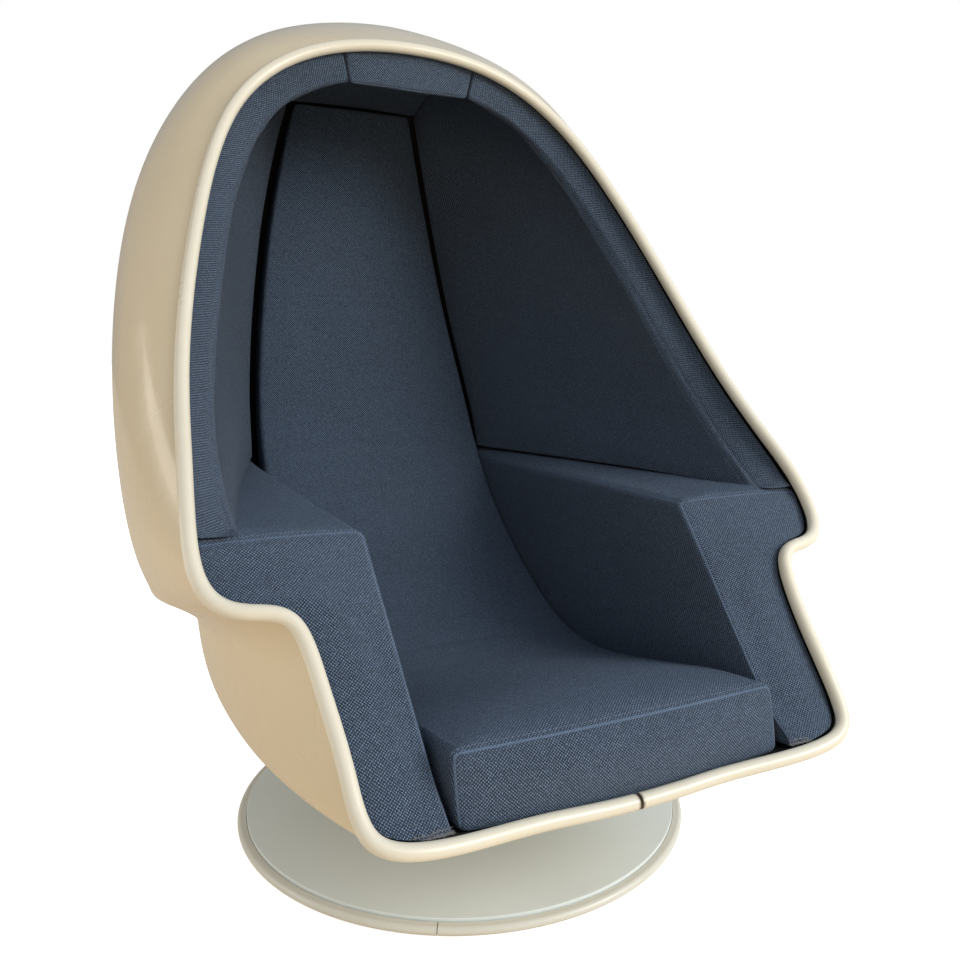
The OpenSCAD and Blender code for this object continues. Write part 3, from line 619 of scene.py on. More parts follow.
class PaddedBlock:
    """A closed block with rounded edges whose points are bent into place by a rule.

    Each axis has one rounding for both its ends, or a pair for its first and last end. The
    sides in plain take their weave straight from two directions, as one flat panel does."""

    def __init__(self, size, edge, steps, rule, plain=None):
        self.plain, size = plain or {}, np.asarray(size, float)
        edges = np.array([np.broadcast_to(e, 2) for e in edge], float)
        lines = [stations(*axis) for axis in zip(size, edges, steps)]
        grid = np.stack(np.meshgrid(*lines, indexing="ij"), -1)
        skin = np.ones(grid.shape[:3], bool)
        skin[1:-1, 1:-1, 1:-1] = False
        self.ids = np.full(skin.shape, -1)
        self.ids[skin] = np.arange(skin.sum())
        self.flat = grid[skin]
        self.share = self.flat / size
        low, high = edges.T
        core = np.clip(self.flat, low, size - high)
        radius = np.where(self.flat < core, low, high)
        away = (self.flat - core) / radius
        length = np.linalg.norm(away, axis=-1, keepdims=True)
        self.points = rule((core + away / np.maximum(length, 1e-12) * radius) / size)

    def side_grids(self):
        grids = []
        for axis in range(3):
            for end in (0, -1):
                side = np.take(self.ids, end, axis=axis)
                grids.append(side if (end == -1) != (axis == 1) else side[::-1])
        return grids

    def build(self, name, flip):
        points = self.points * (-1, 1, 1) if flip else self.points
        quads, uvs = [], []
        for number, side in enumerate(self.side_grids()):
            p = points[side]
            u = np.zeros(side.shape)
            u[1:] = np.cumsum(np.linalg.norm(np.diff(p, axis=0), axis=-1), axis=0)
            u -= u[side.shape[0] // 2]
            v = np.zeros(side.shape)
            v[:, 1:] = np.cumsum(np.linalg.norm(np.diff(p, axis=1), axis=-1), axis=1)
            v -= v[:, side.shape[1] // 2][:, None]
            if number in self.plain:
                u, v = (p @ np.array(way) for way in self.plain[number])
            a, b = side[:-1, :-1].ravel(), side[1:, :-1].ravel()
            c, d = side[1:, 1:].ravel(), side[:-1, 1:].ravel()
            quad = np.stack([a, b, c, d], -1)
            uv = np.stack([u, v], -1)
            corner = np.stack([uv[:-1, :-1], uv[1:, :-1], uv[1:, 1:], uv[:-1, 1:]], 2)
            corner = corner.reshape(-1, 4, 2)
            quads.append(quad[:, ::-1] if flip else quad)
            uvs.append(corner[:, ::-1] if flip else corner)
        quads, uvs = np.concatenate(quads), np.concatenate(uvs)
        mesh = bpy.data.meshes.new(name)
        mesh.from_pydata(points.tolist(), [], quads.tolist())
        layer = mesh.uv_layers.new(name="weave")
        layer.data.foreach_set("uv", uvs.reshape(-1).astype(np.float32))
        mesh.polygons.foreach_set("use_smooth", np.ones(len(quads), bool))
        mesh.update()
        return placed(name, mesh)


def outward(piece):
    """Turns a closed piece's faces outwards if its volume comes out below zero."""
    bm = bmesh.new()
    bm.from_mesh(piece.data)
    if bm.calc_volume(signed=True) < 0:
        bmesh.ops.reverse_faces(bm, faces=bm.faces)
        bm.to_mesh(piece.data)
    bm.free()


def settle(piece, held, looks, limit):
    """Lets the fabric swell over its foam, held where it is sewn or hidden, and capped."""
    group = piece.vertex_groups.new(name="held")
    held = np.round(held, 1)
    for weight in np.unique(held[held > 0]):
        group.add(np.nonzero(held == weight)[0].tolist(), float(weight), "REPLACE")
    cloth = piece.modifiers.new("Foam and fabric", "CLOTH")
    settings = cloth.settings
    settings.quality = 4
    settings.mass = 0.35
    settings.tension_stiffness = settings.compression_stiffness = 12
    settings.shear_stiffness = 6
    settings.bending_stiffness = 0.6
    settings.use_pressure = True
    settings.uniform_pressure_force = looks.pressure
    settings.vertex_group_mass = "held"
    settings.effector_weights.gravity = 0
    cloth.point_cache.frame_start, cloth.point_cache.frame_end = 1, looks.settle_frames
    scene = bpy.context.scene
    start = coordinates(piece.data)
    for step in range(1, looks.settle_frames + 1):
        scene.frame_set(step)
    swollen = coordinates(piece.evaluated_get(bpy.context.evaluated_depsgraph_get()).data)
    piece.modifiers.remove(cloth)
    piece.vertex_groups.clear()
    scene.frame_set(1)
    move, cap = swollen - start, limit[:, None]
    size = np.linalg.norm(move, axis=-1, keepdims=True)
    set_coordinates(piece.data, start + move / np.maximum(size, 1e-9) * cap * np.tanh(size / cap))


def uneven(points, normals, amount, pitch, seed):
    """Moves points a little along their normals by a fixed, smooth noise."""
    heights = np.array(
        [noise.noise(Vector(p) / pitch + Vector((seed, 0.37 * seed, 0))) for p in points]
    )
    return points + normals * (heights * amount)[:, None]


# ---------------------------------------------------------------- materials
class Graph:
    """Adds and joins the nodes of one material or group."""

    def __init__(self, tree):
        self.tree = tree
        self.count = 0

    def node(self, kind, values=None, **settings):
        made = self.tree.nodes.new(kind)
        made.location = (-1400 + 190 * (self.count % 9), 300 - 260 * (self.count // 9))
        self.count += 1
        for key, value in settings.items():
            setattr(made, key, value)
        for key, value in (values or {}).items():
            self.set(made.inputs[key], value)
        return made

    def set(self, socket, value):
        if isinstance(value, bpy.types.NodeSocket):
            self.tree.links.new(value, socket)
        elif socket.type == "RGBA" and len(value) == 3:
            socket.default_value = (*value, 1.0)
        else:
            socket.default_value = value

    def math(self, operation, *values):
        return self.node("ShaderNodeMath", dict(enumerate(values)), operation=operation).outputs[0]

    def times(self, a, b):
        return self.math("MULTIPLY", a, b)

    def vector(self, operation, *values):
        made = self.node("ShaderNodeVectorMath", dict(enumerate(values)), operation=operation)
        return made.outputs[0]

    def scaled(self, vector, factor):
        made = self.node("ShaderNodeVectorMath", {0: vector}, operation="SCALE")
        self.set(made.inputs["Scale"], factor)
        return made.outputs[0]

    def joined(self, x=0.0, y=0.0, z=0.0):
        return self.node("ShaderNodeCombineXYZ", {0: x, 1: y, 2: z}).outputs[0]

    def stretched(self, vector, scale, turn=(0, 0, 0)):
        return self.node("ShaderNodeMapping", {0: vector, 2: turn, 3: scale}).outputs[0]

    def attribute(self, name):
        return self.node("ShaderNodeAttribute", attribute_name=name).outputs["Fac"]

    def blend(self, factor, a, b, kind="MIX"):
        made = self.node("ShaderNodeMix", data_type="RGBA", blend_type=kind)
        for socket, value in zip((made.inputs[0], made.inputs[6], made.inputs[7]), (factor, a, b)):
            self.set(socket, value)
        return made.outputs[2]

    def darkened(self, colour, factor):
        grey = self.node("ShaderNodeCombineColor", {0: factor, 1: factor, 2: factor}).outputs[0]
        return self.blend(1.0, colour, grey, "MULTIPLY")

    def noise(self, vector, scale, detail=2.0, roughness=0.5):
        return self.node("ShaderNodeTexNoise", {
            "Vector": vector, "Scale": scale, "Detail": detail, "Roughness": roughness,
        }).outputs["Fac"]

    def ramp(self, value, low, high, to_low=0.0, to_high=1.0):
        values = enumerate((value, low, high, to_low, to_high))
        return self.node("ShaderNodeMapRange", dict(values)).outputs[0]


SOCKET_KINDS = {"Geometry": "Geometry", "Material": "Material", "Vector": "Vector", "Count": "Int"}


def group(name, inputs, outputs, kind="ShaderNodeTree"):
    """An empty node group with named sockets; returns its graph, inputs and outputs."""
    tree = fresh(bpy.data.node_groups, name, kind)
    for way, titles in (("INPUT", inputs), ("OUTPUT", outputs)):
        for title in titles:
            socket = "NodeSocket" + SOCKET_KINDS.get(title, "Float")
            tree.interface.new_socket(title, in_out=way, socket_type=socket)
    graph = Graph(tree)
    return graph, graph.node("NodeGroupInput").outputs, graph.node("NodeGroupOutput").inputs


def weave_group():
    """Hopsack: pairs of yarns that pass over and under one another, with slubs and pale flecks."""
    g, inside, out = group(
        "Hopsack weave", ("Vector", "Pitch", "Slub"), ("Height", "Yarn", "Tone", "Fleck")
    )
    drift = g.node("ShaderNodeTexNoise", {"Vector": inside["Vector"], "Scale": 90.0, "Detail": 1.0})
    shift = g.scaled(g.vector("SUBTRACT", drift.outputs["Color"], (0.5, 0.5, 0.5)), 0.0012)
    part = g.node("ShaderNodeSeparateXYZ", {0: g.vector("ADD", inside["Vector"], shift)}).outputs
    u, v = (g.math("DIVIDE", part[i], inside["Pitch"]) for i in (0, 1))
    cell = g.math("ADD", g.math("FLOOR", u), g.math("FLOOR", v))
    over = g.math("GREATER_THAN", g.math("FRACT", g.times(cell, 0.5)), 0.25)
    under = g.math("SUBTRACT", 1.0, over)
    fu, fv = g.math("FRACT", u), g.math("FRACT", v)
    across = g.math("ADD", g.times(over, fv), g.times(under, fu))
    along = g.math("ADD", g.times(over, fu), g.times(under, fv))
    yarns = g.math("ABSOLUTE", g.math("SINE", g.times(across, 2 * math.pi)))
    crown = g.math("ABSOLUTE", g.math("SINE", g.times(along, math.pi)))
    yarn = g.joined(*(g.math("FLOOR", g.times(way, 2.0)) for way in (u, v)), over)
    tone = g.node("ShaderNodeTexWhiteNoise", {"Vector": yarn}, noise_dimensions="3D")
    slub = g.math("SUBTRACT", g.noise(inside["Vector"], 420.0, 2.0), 0.5)
    height = g.times(g.math("POWER", yarns, 0.7), g.math("POWER", crown, 0.6))
    g.set(out["Height"], g.math("MULTIPLY_ADD", slub, inside["Slub"], height))
    g.set(out["Yarn"], over)
    g.set(out["Tone"], tone.outputs["Value"])
    g.set(out["Fleck"], g.ramp(tone.outputs["Value"], 0.965, 0.985))


def seam_group():
    """Height of a sewn seam, the painted shade in its groove, and the wear and painted highlight
    along its welt, from the distance to it.
    """
    g, inside, out = group("Sewn seam", ("Distance", "Width"), ("Height", "Shade", "Worn"))
    near = g.math("DIVIDE", inside["Distance"], inside["Width"])
    lip = g.times(g.ramp(near, 0.15, 0.45), g.ramp(near, 1.5, 0.8))
    line = g.times(g.ramp(near, 0.0, 0.22), 0.25)
    g.set(out["Height"], g.math("ADD", line, g.times(lip, 0.4)))
    g.set(out["Shade"], g.ramp(near, 0.0, 0.25, 0.8, 1.0))
    # A light band beside the seam: wear together with a painted highlight where the welt catches
    # the light.
    g.set(out["Worn"], g.ramp(near, 0.34, 0.14))


def wear_group():
    """Soft mottling, fine scratches, specks and ripples in object coordinates."""
    g, inside, out = group(
        "Mottling and scratches", ("Vector", "Patch Scale", "Scratch"),
        ("Patches", "Scratches", "Specks", "Ripple"),
    )
    place = inside["Vector"]
    g.set(out["Patches"], g.ramp(g.noise(place, inside["Patch Scale"], 4.0, 0.55), 0.3, 0.7))
    streaks = g.noise(g.stretched(place, (16.0, 240.0, 60.0), (0.5, 0.9, 0.3)), 1.0, 3.0, 0.7)
    lines = g.times(g.ramp(streaks, 0.66, 0.72), g.ramp(g.noise(place, 9.0), 0.5, 0.7))
    g.set(out["Scratches"], g.times(lines, inside["Scratch"]))
    cells = g.node("ShaderNodeTexVoronoi", {"Vector": place, "Scale": 110.0})
    g.set(out["Specks"], g.ramp(cells.outputs["Distance"], 0.09, 0.05))
    g.set(out["Ripple"], g.noise(place, 55.0, 1.0))


def new_material(name):
    """A material with an empty graph around its own shader."""
    made = fresh(bpy.data.materials, name)
    made.use_nodes = True
    made.node_tree.nodes.clear()
    g = Graph(made.node_tree)
    shader = g.node("ShaderNodeBsdfPrincipled")
    output = g.node("ShaderNodeOutputMaterial", {"Surface": shader.outputs[0]})
    shader.location, output.location = (500, 0), (800, 0)
    return made, g, shader.inputs, g.node("ShaderNodeTexCoord").outputs["Object"]


def material(name, paint, *arguments, **options):
    """The named material, painted on first use."""
    for title, build in (("Hopsack weave", weave_group), ("Sewn seam", seam_group),
                         ("Mottling and scratches", wear_group)):
        if bpy.data.node_groups.get(title) is None:
            build()
    made = bpy.data.materials.get(name)
    if made is None:
        made, g, shader, place = new_material(name)
        values = paint(g, place, *arguments, **options)
        for socket, value in values.items():
            g.set(shader[socket], value)
    return made


def shared(g, name, **values):
    """One of the shared groups placed in a material."""
    made = g.node("ShaderNodeGroup")
    made.node_tree = bpy.data.node_groups[name]
    for key, value in values.items():
        g.set(made.inputs[key], value)
    return made.outputs


def wear_of(g, place, patch_scale, scratch):
    values = {"Vector": place, "Patch Scale": patch_scale, "Scratch": scratch}
    return shared(g, "Mottling and scratches", **values)


def bumped(g, height, depth, strength=1.0, under=None):
    made = g.node("ShaderNodeBump", {"Height": height, "Distance": depth, "Strength": strength})
    if under is not None:
        g.set(made.inputs["Normal"], under)
    return made.outputs[0]


def tinted(colour, factors):
    """A colour times one factor or three, held below white."""
    return np.minimum(np.multiply(colour, factors), 1.0).tolist()


def aged(g, wear, colour, **marks):
    """A colour with marks of wear, each given as its strength and its tint of the colour."""
    base = colour
    for mark, (strength, tint) in marks.items():
        base = g.blend(g.times(wear[mark], strength), base, tinted(colour, tint))
    return base


def paint_fabric(g, place, looks, lift=1.0, worn=0.6, crease=False):
    """Dark blue-grey hopsack on its own weave coordinates, with sewn seams."""
    weave_map = g.node("ShaderNodeUVMap", uv_map="weave").outputs[0]
    weave = shared(g, "Hopsack weave", Vector=weave_map, Pitch=looks.weave_pitch, Slub=0.45)
    seam = shared(g, "Sewn seam", Distance=g.attribute("seam"), Width=0.006)
    # A lift below 1 darkens both yarns of a copy of the fabric: painted shade for the pads inside
    # the hood.
    dark, light = tinted(looks.fabric_dark, lift), tinted(looks.fabric_light, lift)
    base = g.blend(weave["Yarn"], dark, light)
    faded = g.noise(place, 3.2, 3.0, 0.55)
    base = g.blend(g.ramp(faded, 0.35, 0.7, 0.0, 0.15), base, light)
    base = g.blend(g.times(weave["Tone"], 0.7), base, tinted(dark, 0.6))
    base = g.blend(g.times(weave["Fleck"], 0.45), base, (0.26, 0.28, 0.29))
    # Painted shade between the yarns and painted highlight on their crowns: the colour drops to
    # 0.12 where the weave is low and rises to 1.3 where it is high.
    base = g.darkened(base, g.ramp(weave["Height"], 0.1, 0.7, 0.12, 1.3))
    # Lightens the fabric beside its seams by the amount given: wear together with a painted
    # highlight on the welt.
    base = g.blend(g.times(seam["Worn"], worn), base, tinted(light, 1.2))
    under = bumped(g, seam["Height"], 0.0022)
    if crease:
        wander = g.ramp(g.noise(place, 14.0, 1.0), 0.0, 1.0, -0.004, 0.004)
        fold = g.math("ABSOLUTE", g.math("ADD", g.attribute("crease"), wander))
        under = bumped(g, g.ramp(fold, 0.0, 0.007), 0.0012, 0.8, under)
    return {
        "Base Color": g.darkened(base, seam["Shade"]),
        "Roughness": g.ramp(weave["Height"], 0.0, 1.0, 1.0, 0.82),
        "Specular IOR Level": 0.22, "Sheen Weight": 0.16, "Sheen Roughness": 0.45,
        "Sheen Tint": (0.72, 0.80, 0.92),
        "Normal": bumped(g, weave["Height"], 0.0011, 0.95, under),
    }


def paint_thread(g, place, colour):
    """Twisted thread or loose yarn with a soft sheen."""
    twist = g.noise(place, 900.0, 2.0)
    tone = g.ramp(g.noise(place, 60.0), 0.3, 0.7)
    return {
        "Base Color": g.blend(tone, tinted(colour, 0.6), colour),
        "Roughness": g.ramp(twist, 0.2, 0.8, 0.55, 0.8),
        "Sheen Weight": 0.2, "Normal": bumped(g, twist, 0.0003),
    }


def paint_gelcoat(g, place, looks):
    """Aged ivory gelcoat over glass fibre: glossy and a little mottled, with the dull inner wall
    painted near black as shade.
    """
    wear = wear_of(g, place, 3.5, 0.15)
    base = aged(g, wear, list(looks.shell_colour), Patches=(0.5, (0.93, 0.90, 0.84)),
                Scratches=(0.5, 1.2), Specks=(0.12, 0.55))
    inside = g.attribute("inside")
    strands = g.noise(place, 160.0, 4.0, 0.7)
    # The inner wall's glass fibre strands, painted near black as shade so that gaps into the shell
    # read dark.
    fibre_in_painted_shade = g.blend(strands, (0.006, 0.005, 0.004), (0.022, 0.019, 0.015))
    rough = g.math("ADD", g.ramp(wear["Patches"], 0.0, 1.0, 0.20, 0.30),
                   g.times(wear["Scratches"], 0.25))
    wave = bumped(g, g.noise(place, 9.0, 2.0), 0.004, 0.6)
    return {
        "Base Color": g.blend(inside, base, fibre_in_painted_shade),
        "Roughness": g.math("MAXIMUM", rough, inside),
        "IOR": 1.5, "Coat Roughness": 0.08,
        "Coat Weight": g.times(g.math("SUBTRACT", 1.0, inside),
                               g.ramp(wear["Patches"], 0.0, 1.0, 0.35, 0.2)),
        "Normal": bumped(g, wear["Ripple"], 0.0006, 0.5, wave),
    }


def paint_vinyl(g, place, colour, rough=0.34, joint=False):
    """Extruded cream vinyl: a satin shine, soft patches and specks, grime in its joint."""
    wear = wear_of(g, place, 9.0, 0.6)
    base = aged(g, wear, list(colour), Patches=(0.45, (0.92, 0.89, 0.82)), Specks=(0.18, 0.5))
    if joint:
        grime = g.ramp(g.attribute("joint"), 0.0, 0.0035, 0.85, 0.0)
        base = g.blend(grime, base, (0.10, 0.065, 0.035))
    return {
        "Base Color": base,
        "Roughness": g.math(
            "ADD", g.ramp(wear["Patches"], 0.0, 1.0, rough - 0.06, rough + 0.08),
            g.times(wear["Scratches"], 0.3)),
        "Normal": bumped(g, wear["Ripple"], 0.0005, 0.5),
    }


def paint_laminate(g, place, looks):
    """Pale grey-green laminate: fine pebble, scuffs and a little dirt."""
    wear = wear_of(g, place, 5.0, 0.8)
    base = aged(g, wear, list(looks.plate_colour), Patches=(0.4, (0.90, 0.91, 0.88)),
                Scratches=(0.5, 1.12), Specks=(0.15, 0.55))
    pebble = g.noise(place, 900.0, 2.0)
    return {
        "Base Color": base,
        "Roughness": g.math("ADD", g.ramp(pebble, 0.3, 0.7, 0.30, 0.42),
                            g.times(wear["Scratches"], 0.2)),
        "Normal": bumped(g, pebble, 0.00012, 0.6),
    }


def paint_metal(g, place, colour, rough, painted=False, turned=False):
    """Steel, plated or turned or painted, with fine marks and rubbed places."""
    wear = wear_of(g, place, 30.0, 1.0)
    base = aged(g, wear, colour, Patches=(0.5, 0.75))
    bright = (0.35, 0.34, 0.32) if painted else tinted(colour, 1.3)
    grain = g.noise(place, 700.0, 2.0)
    if turned:
        grain = g.noise(g.stretched(place, (2.0, 2.0, 2600.0)), 1.0, 2.0)
    return {
        "Base Color": g.blend(g.times(wear["Scratches"], 0.7), base, bright),
        "Metallic": g.times(wear["Scratches"], 0.9) if painted else 1.0,
        "Roughness": g.ramp(wear["Patches"], 0.0, 1.0, rough, rough + 0.15),
        "Normal": bumped(g, grain, 0.00012, 0.7),
    }


def paint_board(g, place):
    """Plywood and chipboard: streaks of grain, plies on the edges, open pores."""
    grain = g.noise(g.stretched(place, (14.0, 160.0, 90.0)), 1.0, 5.0, 0.6)
    plies = g.node("ShaderNodeTexWave", {
        "Vector": place, "Scale": 210.0, "Distortion": 1.5, "Detail": 2.0},
        bands_direction="Z").outputs["Fac"]
    base = g.blend(grain, (0.30, 0.19, 0.10), (0.56, 0.40, 0.24))
    return {
        "Base Color": g.blend(g.times(plies, 0.18), base, (0.20, 0.12, 0.07)),
        "Roughness": g.ramp(grain, 0.0, 1.0, 0.85, 0.6),
        "Normal": bumped(g, grain, 0.0006, 0.6),
    }


def paint_felt(g, place):
    """Dense grey felt with loose fibres."""
    fibres = g.noise(place, 600.0, 4.0, 0.7)
    lumps = g.ramp(g.noise(place, 70.0, 2.0), 0.3, 0.7, 0.0, 0.3)
    base = g.blend(fibres, (0.035, 0.036, 0.035), (0.11, 0.112, 0.108))
    return {
        "Base Color": g.blend(lumps, base, (0.05, 0.05, 0.05)),
        "Roughness": g.ramp(fibres, 0.0, 1.0, 1.0, 0.85),
        "Sheen Weight": 0.3, "Normal": bumped(g, fibres, 0.0008),
    }


def paint_nylon(g, place):
    """Off-white nylon with a slight haze and rubbed streaks."""
    wear = wear_of(g, place, 40.0, 0.8)
    base = g.blend(wear["Patches"], (0.70, 0.69, 0.64), (0.60, 0.59, 0.53))
    return {
        "Base Color": g.blend(g.times(wear["Scratches"], 0.6), base, (0.22, 0.21, 0.19)),
        "Roughness": g.ramp(wear["Patches"], 0.0, 1.0, 0.38, 0.52),
        "Normal": bumped(g, wear["Ripple"], 0.0003, 0.5),
    }


# ---------------------------------------------------------------- pieces
def form_of(context):
    return PodForm(context.scene.pod_chair_sizes)


def looks_of(context):
    return context.scene.pod_chair_looks


def shell_points(form, s, v, depth):
    """The wall at a depth, eased onto the flat that is moulded underneath."""
    p = form.point(s, v) - depth * form.normal(s, v)
    floor = form.flat_z + depth
    near = np.clip(1 - np.abs(p[..., 2] - floor) / (4 * MM), 0, 1)
    p[..., 2] = np.maximum(p[..., 2], floor) + near * near * MM
    return p


def even_columns(form, s, columns):
    """Places from rim to rim, evenly apart along each row of the shell."""
    dense = np.linspace(0, 1, 700)
    dense = np.concatenate([dense, 2 - dense[-2::-1]])
    line = form.point(s[1:-1, None], dense[None, :])
    steps = np.linalg.norm(np.diff(line, axis=1), axis=-1)
    v = np.ones((len(s), columns + 1))
    for i, row in enumerate(steps):
        run = np.concatenate([[0], np.cumsum(row)])
        v[i + 1] = np.interp(np.linspace(0, run[-1], columns + 1), run, dense)
    v[:, 0], v[:, -1] = 0, 2
    v[0], v[-1] = 1, 1
    return v


class PODCHAIR_OT_shell(bpy.types.Operator):
    """Build the one-piece moulded shell with its ledge, crown and flat underside"""

    bl_idname = "podchair.shell"
    bl_label = "Moulded Shell"

    def execute(self, context):
        form, looks = form_of(context), looks_of(context)
        s = np.linspace(0, 1, SHELL_ROWS + 1)
        v = even_columns(form, s, SHELL_COLUMNS)
        grid = np.broadcast_to(s[:, None], v.shape)
        walls = [shell_points(form, grid, v, depth) for depth in (0.0, form.z.shell_wall)]
        points = np.concatenate([wall.reshape(-1, 3) for wall in walls])
        ids = np.arange(v.size).reshape(v.shape)
        ids[0], ids[-1] = ids[0, 0], ids[-1, 0]
        inner = ids + v.size
        sheets = (
            (ids[:-1, :-1], ids[1:, :-1], ids[1:, 1:], ids[:-1, 1:]),
            (inner[:-1, :-1], inner[:-1, 1:], inner[1:, 1:], inner[1:, :-1]),
            (ids[:-1, 0], inner[:-1, 0], inner[1:, 0], ids[1:, 0]),
            (ids[:-1, -1], ids[1:, -1], inner[1:, -1], inner[:-1, -1]),
        )
        quads = np.concatenate([np.stack(sheet, -1).reshape(-1, 4) for sheet in sheets])
        quads = [list(dict.fromkeys(quad)) for quad in quads.tolist()]
        quads = [quad for quad in quads if len(quad) > 2]
        used = sorted({i for quad in quads for i in quad})
        place = {old: new for new, old in enumerate(used)}
        quads = [[place[i] for i in quad] for quad in quads]
        piece = make_mesh("moulded_shell", points[used], quads, 45)
        if len(used) != len(piece.data.vertices):
            raise RuntimeError("the shell's points were merged")
        point_values(piece.data, "inside", np.array(used) >= v.size)
        dress(piece, material("ivory_gelcoat", paint_gelcoat, looks),
              "shell_gelcoat", "pod", "pod_shell")
        return {"FINISHED"}


def bead_profile(z):
    """The bead's section across and ahead: a half round with a lip on each side of the wall."""
    wall, half = z.shell_wall / 2, z.bead_w / 2
    a = np.linspace(0, math.pi, 19)
    front = np.stack([half * np.cos(a), z.bead_h * np.sin(a) ** 0.95], -1)
    side = [
        (-half + 0.5 * MM, -1.2 * MM), (-half + 1.6 * MM, -2.0 * MM),
        (-wall - 3.2 * MM, -2.3 * MM), (-wall - 2.4 * MM, -3.6 * MM),
        (-wall - 2.0 * MM, -7.2 * MM), (-wall - 1.2 * MM, -7.9 * MM),
        (-wall - 0.25 * MM, -7.4 * MM), (-wall - 0.15 * MM, -z.bead_seat + 0.5 * MM),
    ]
    return np.array([*front, *side, *[(-x, y) for x, y in side[::-1]]])


class PODCHAIR_OT_bead(bpy.types.Operator):
    """Build the half-round bead that wraps the shell's edge, with its one joint at the front"""

    bl_idname = "podchair.bead"
    bl_label = "Rim Bead"

    def execute(self, context):
        form, looks = form_of(context), looks_of(context)
        z = form.z
        profile = bead_profile(z)
        s = np.linspace(0, 1, BEAD_ROWS + 1)
        place, out, ahead = form.rim_frame(s)
        foot = place - out * (z.shell_wall / 2) + ahead * z.bead_seat
        rings = (
            foot[:, None] + out[:, None] * profile[None, :, :1]
            + ahead[:, None] * profile[None, :, 1:]
        )
        gap = z.bead_joint / 2
        last = np.clip((s - BEAD_JOINT_START) / (1 - BEAD_JOINT_START), 0, 1)
        rings[..., 0] += (gap * last**2)[:, None]
        path = np.concatenate([rings[::-1], rings[1:] * (-1, 1, 1)])
        count, n = path.shape[:2]
        ids = np.arange(count * n).reshape(count, n)
        beyond = np.roll(ids, -1, axis=1)
        quads = np.stack([ids[:-1], beyond[:-1], beyond[1:], ids[1:]], -1).reshape(-1, 4).tolist()
        ends = count * n
        quads += [(ends, b, a) for a, b in zip(ids[0], beyond[0])]
        quads += [(ends + 1, a, b) for a, b in zip(ids[-1], beyond[-1])]
        points = np.concatenate([path.reshape(-1, 3), path[[0, -1]].mean(1)])
        piece = make_mesh("rim_half_round_bead", points, quads, 50)
        where = coordinates(piece.data)
        low = where[:, 2] < z.rim_low_z + 30 * MM
        point_values(piece.data, "joint", np.where(low, np.abs(where[:, 0]) - gap, 1))
        dress(piece, material("cream_bead", paint_vinyl, looks.bead_colour, 0.3, joint=True),
              "bead_vinyl", "pod", "rim_bead")
        return {"FINISHED"}


def finish_pad(piece, held, looks, limit, seed, seams):
    outward(piece)
    settle(piece, held, looks, limit)
    points = coordinates(piece.data)
    rough = uneven(points, vertex_normals(piece.data), UNEVEN_T, UNEVEN_PITCH, seed)
    set_coordinates(piece.data, mix(points, rough, (1 - held)[:, None]))
    smooth = piece.modifiers.new("Smoothing", "SUBSURF")
    smooth.levels = smooth.render_levels = 1
    frozen(piece)
    mark_seams(piece, [coordinates(piece.data)[path] for path in seams])


def mark_seams(piece, lines):
    """Stores each point's distance to the nearest sewn line."""
    dense = []
    for line in lines:
        for a, b in zip(line[:-1], line[1:]):
            count = max(2, int(np.linalg.norm(b - a) / SEAM_STEP))
            dense += [mix(a, b, t) for t in np.linspace(0, 1, count)]
    tree = KDTree(len(dense))
    for i, p in enumerate(dense):
        tree.insert(p, i)
    tree.balance()
    point_values(piece.data, "seam", [tree.find(p)[2] for p in coordinates(piece.data)])


def capped(limit, where, most):
    """The limit, held to most where a condition is met."""
    return np.where(where, np.minimum(limit, most), limit)


def cushion_block(form):
    """The long seat and back cushion: along its path, across it and down through it."""
    z = form.z
    u = np.linspace(0, 1, 600)
    steps = np.linalg.norm(np.diff(spline(form.path, u), axis=0), axis=-1)
    run = np.concatenate([[0], np.cumsum(steps)])

    def rule(share):
        along, across, down = share[..., 0], share[..., 1] * 2 - 1, share[..., 2]
        w = np.interp(along * run[-1], run, u)
        wide, thick = spline(form.cushion_wide, w), spline(form.cushion_thick, w)
        middle = 1 - across**2
        top = -z.cushion_crown * ease(w / CROWN_SHARE) * middle
        hang = 10 * MM * np.clip(1 - w / SEAT_BELLY_SHARE, 0, 1) * middle
        deep = top + (thick + hang - top) * down
        pinch = 1.5 * MM * (2 * down - 1) ** 2 + 0.6 * MM
        p = form.on_path(w, across * (wide - pinch), deep)
        toe = np.clip(1 - along * run[-1] / 0.10, 0, 1) ** 2
        belly = np.sin(np.clip(down, 0, 1) * math.pi) * middle
        p[..., 1] -= toe * (9 * MM * down + 3.5 * MM * belly)
        return p

    size = run[-1], 2 * z.seat_half_w, z.seat_dip_t
    return PaddedBlock(size, CUSHION_EDGES, CUSHION_STEPS, rule)


def arm_block(form):
    def rule(share):
        return form.arm_point(share[..., 0], share[..., 2], share[..., 1])

    return PaddedBlock(ARM_SIZE, ARM_EDGES, ARM_STEPS, rule, ARM_PLAIN_SIDES)


def hood_block(form):
    t = form.z.hood_pad_t

    def rule(share):
        return form.hood_point(share[..., 0], share[..., 1], share[..., 2] * t)

    return PaddedBlock((*HOOD_SIZE, t), HOOD_EDGES, HOOD_STEPS, rule)


def roof_block(form):
    t = form.z.hood_pad_t

    def rule(share):
        return form.roof_point(share[..., 0] * 2 - 1, share[..., 1], share[..., 2] * t)

    return PaddedBlock((*ROOF_SIZE, t), ROOF_EDGES, ROOF_STEPS, rule)


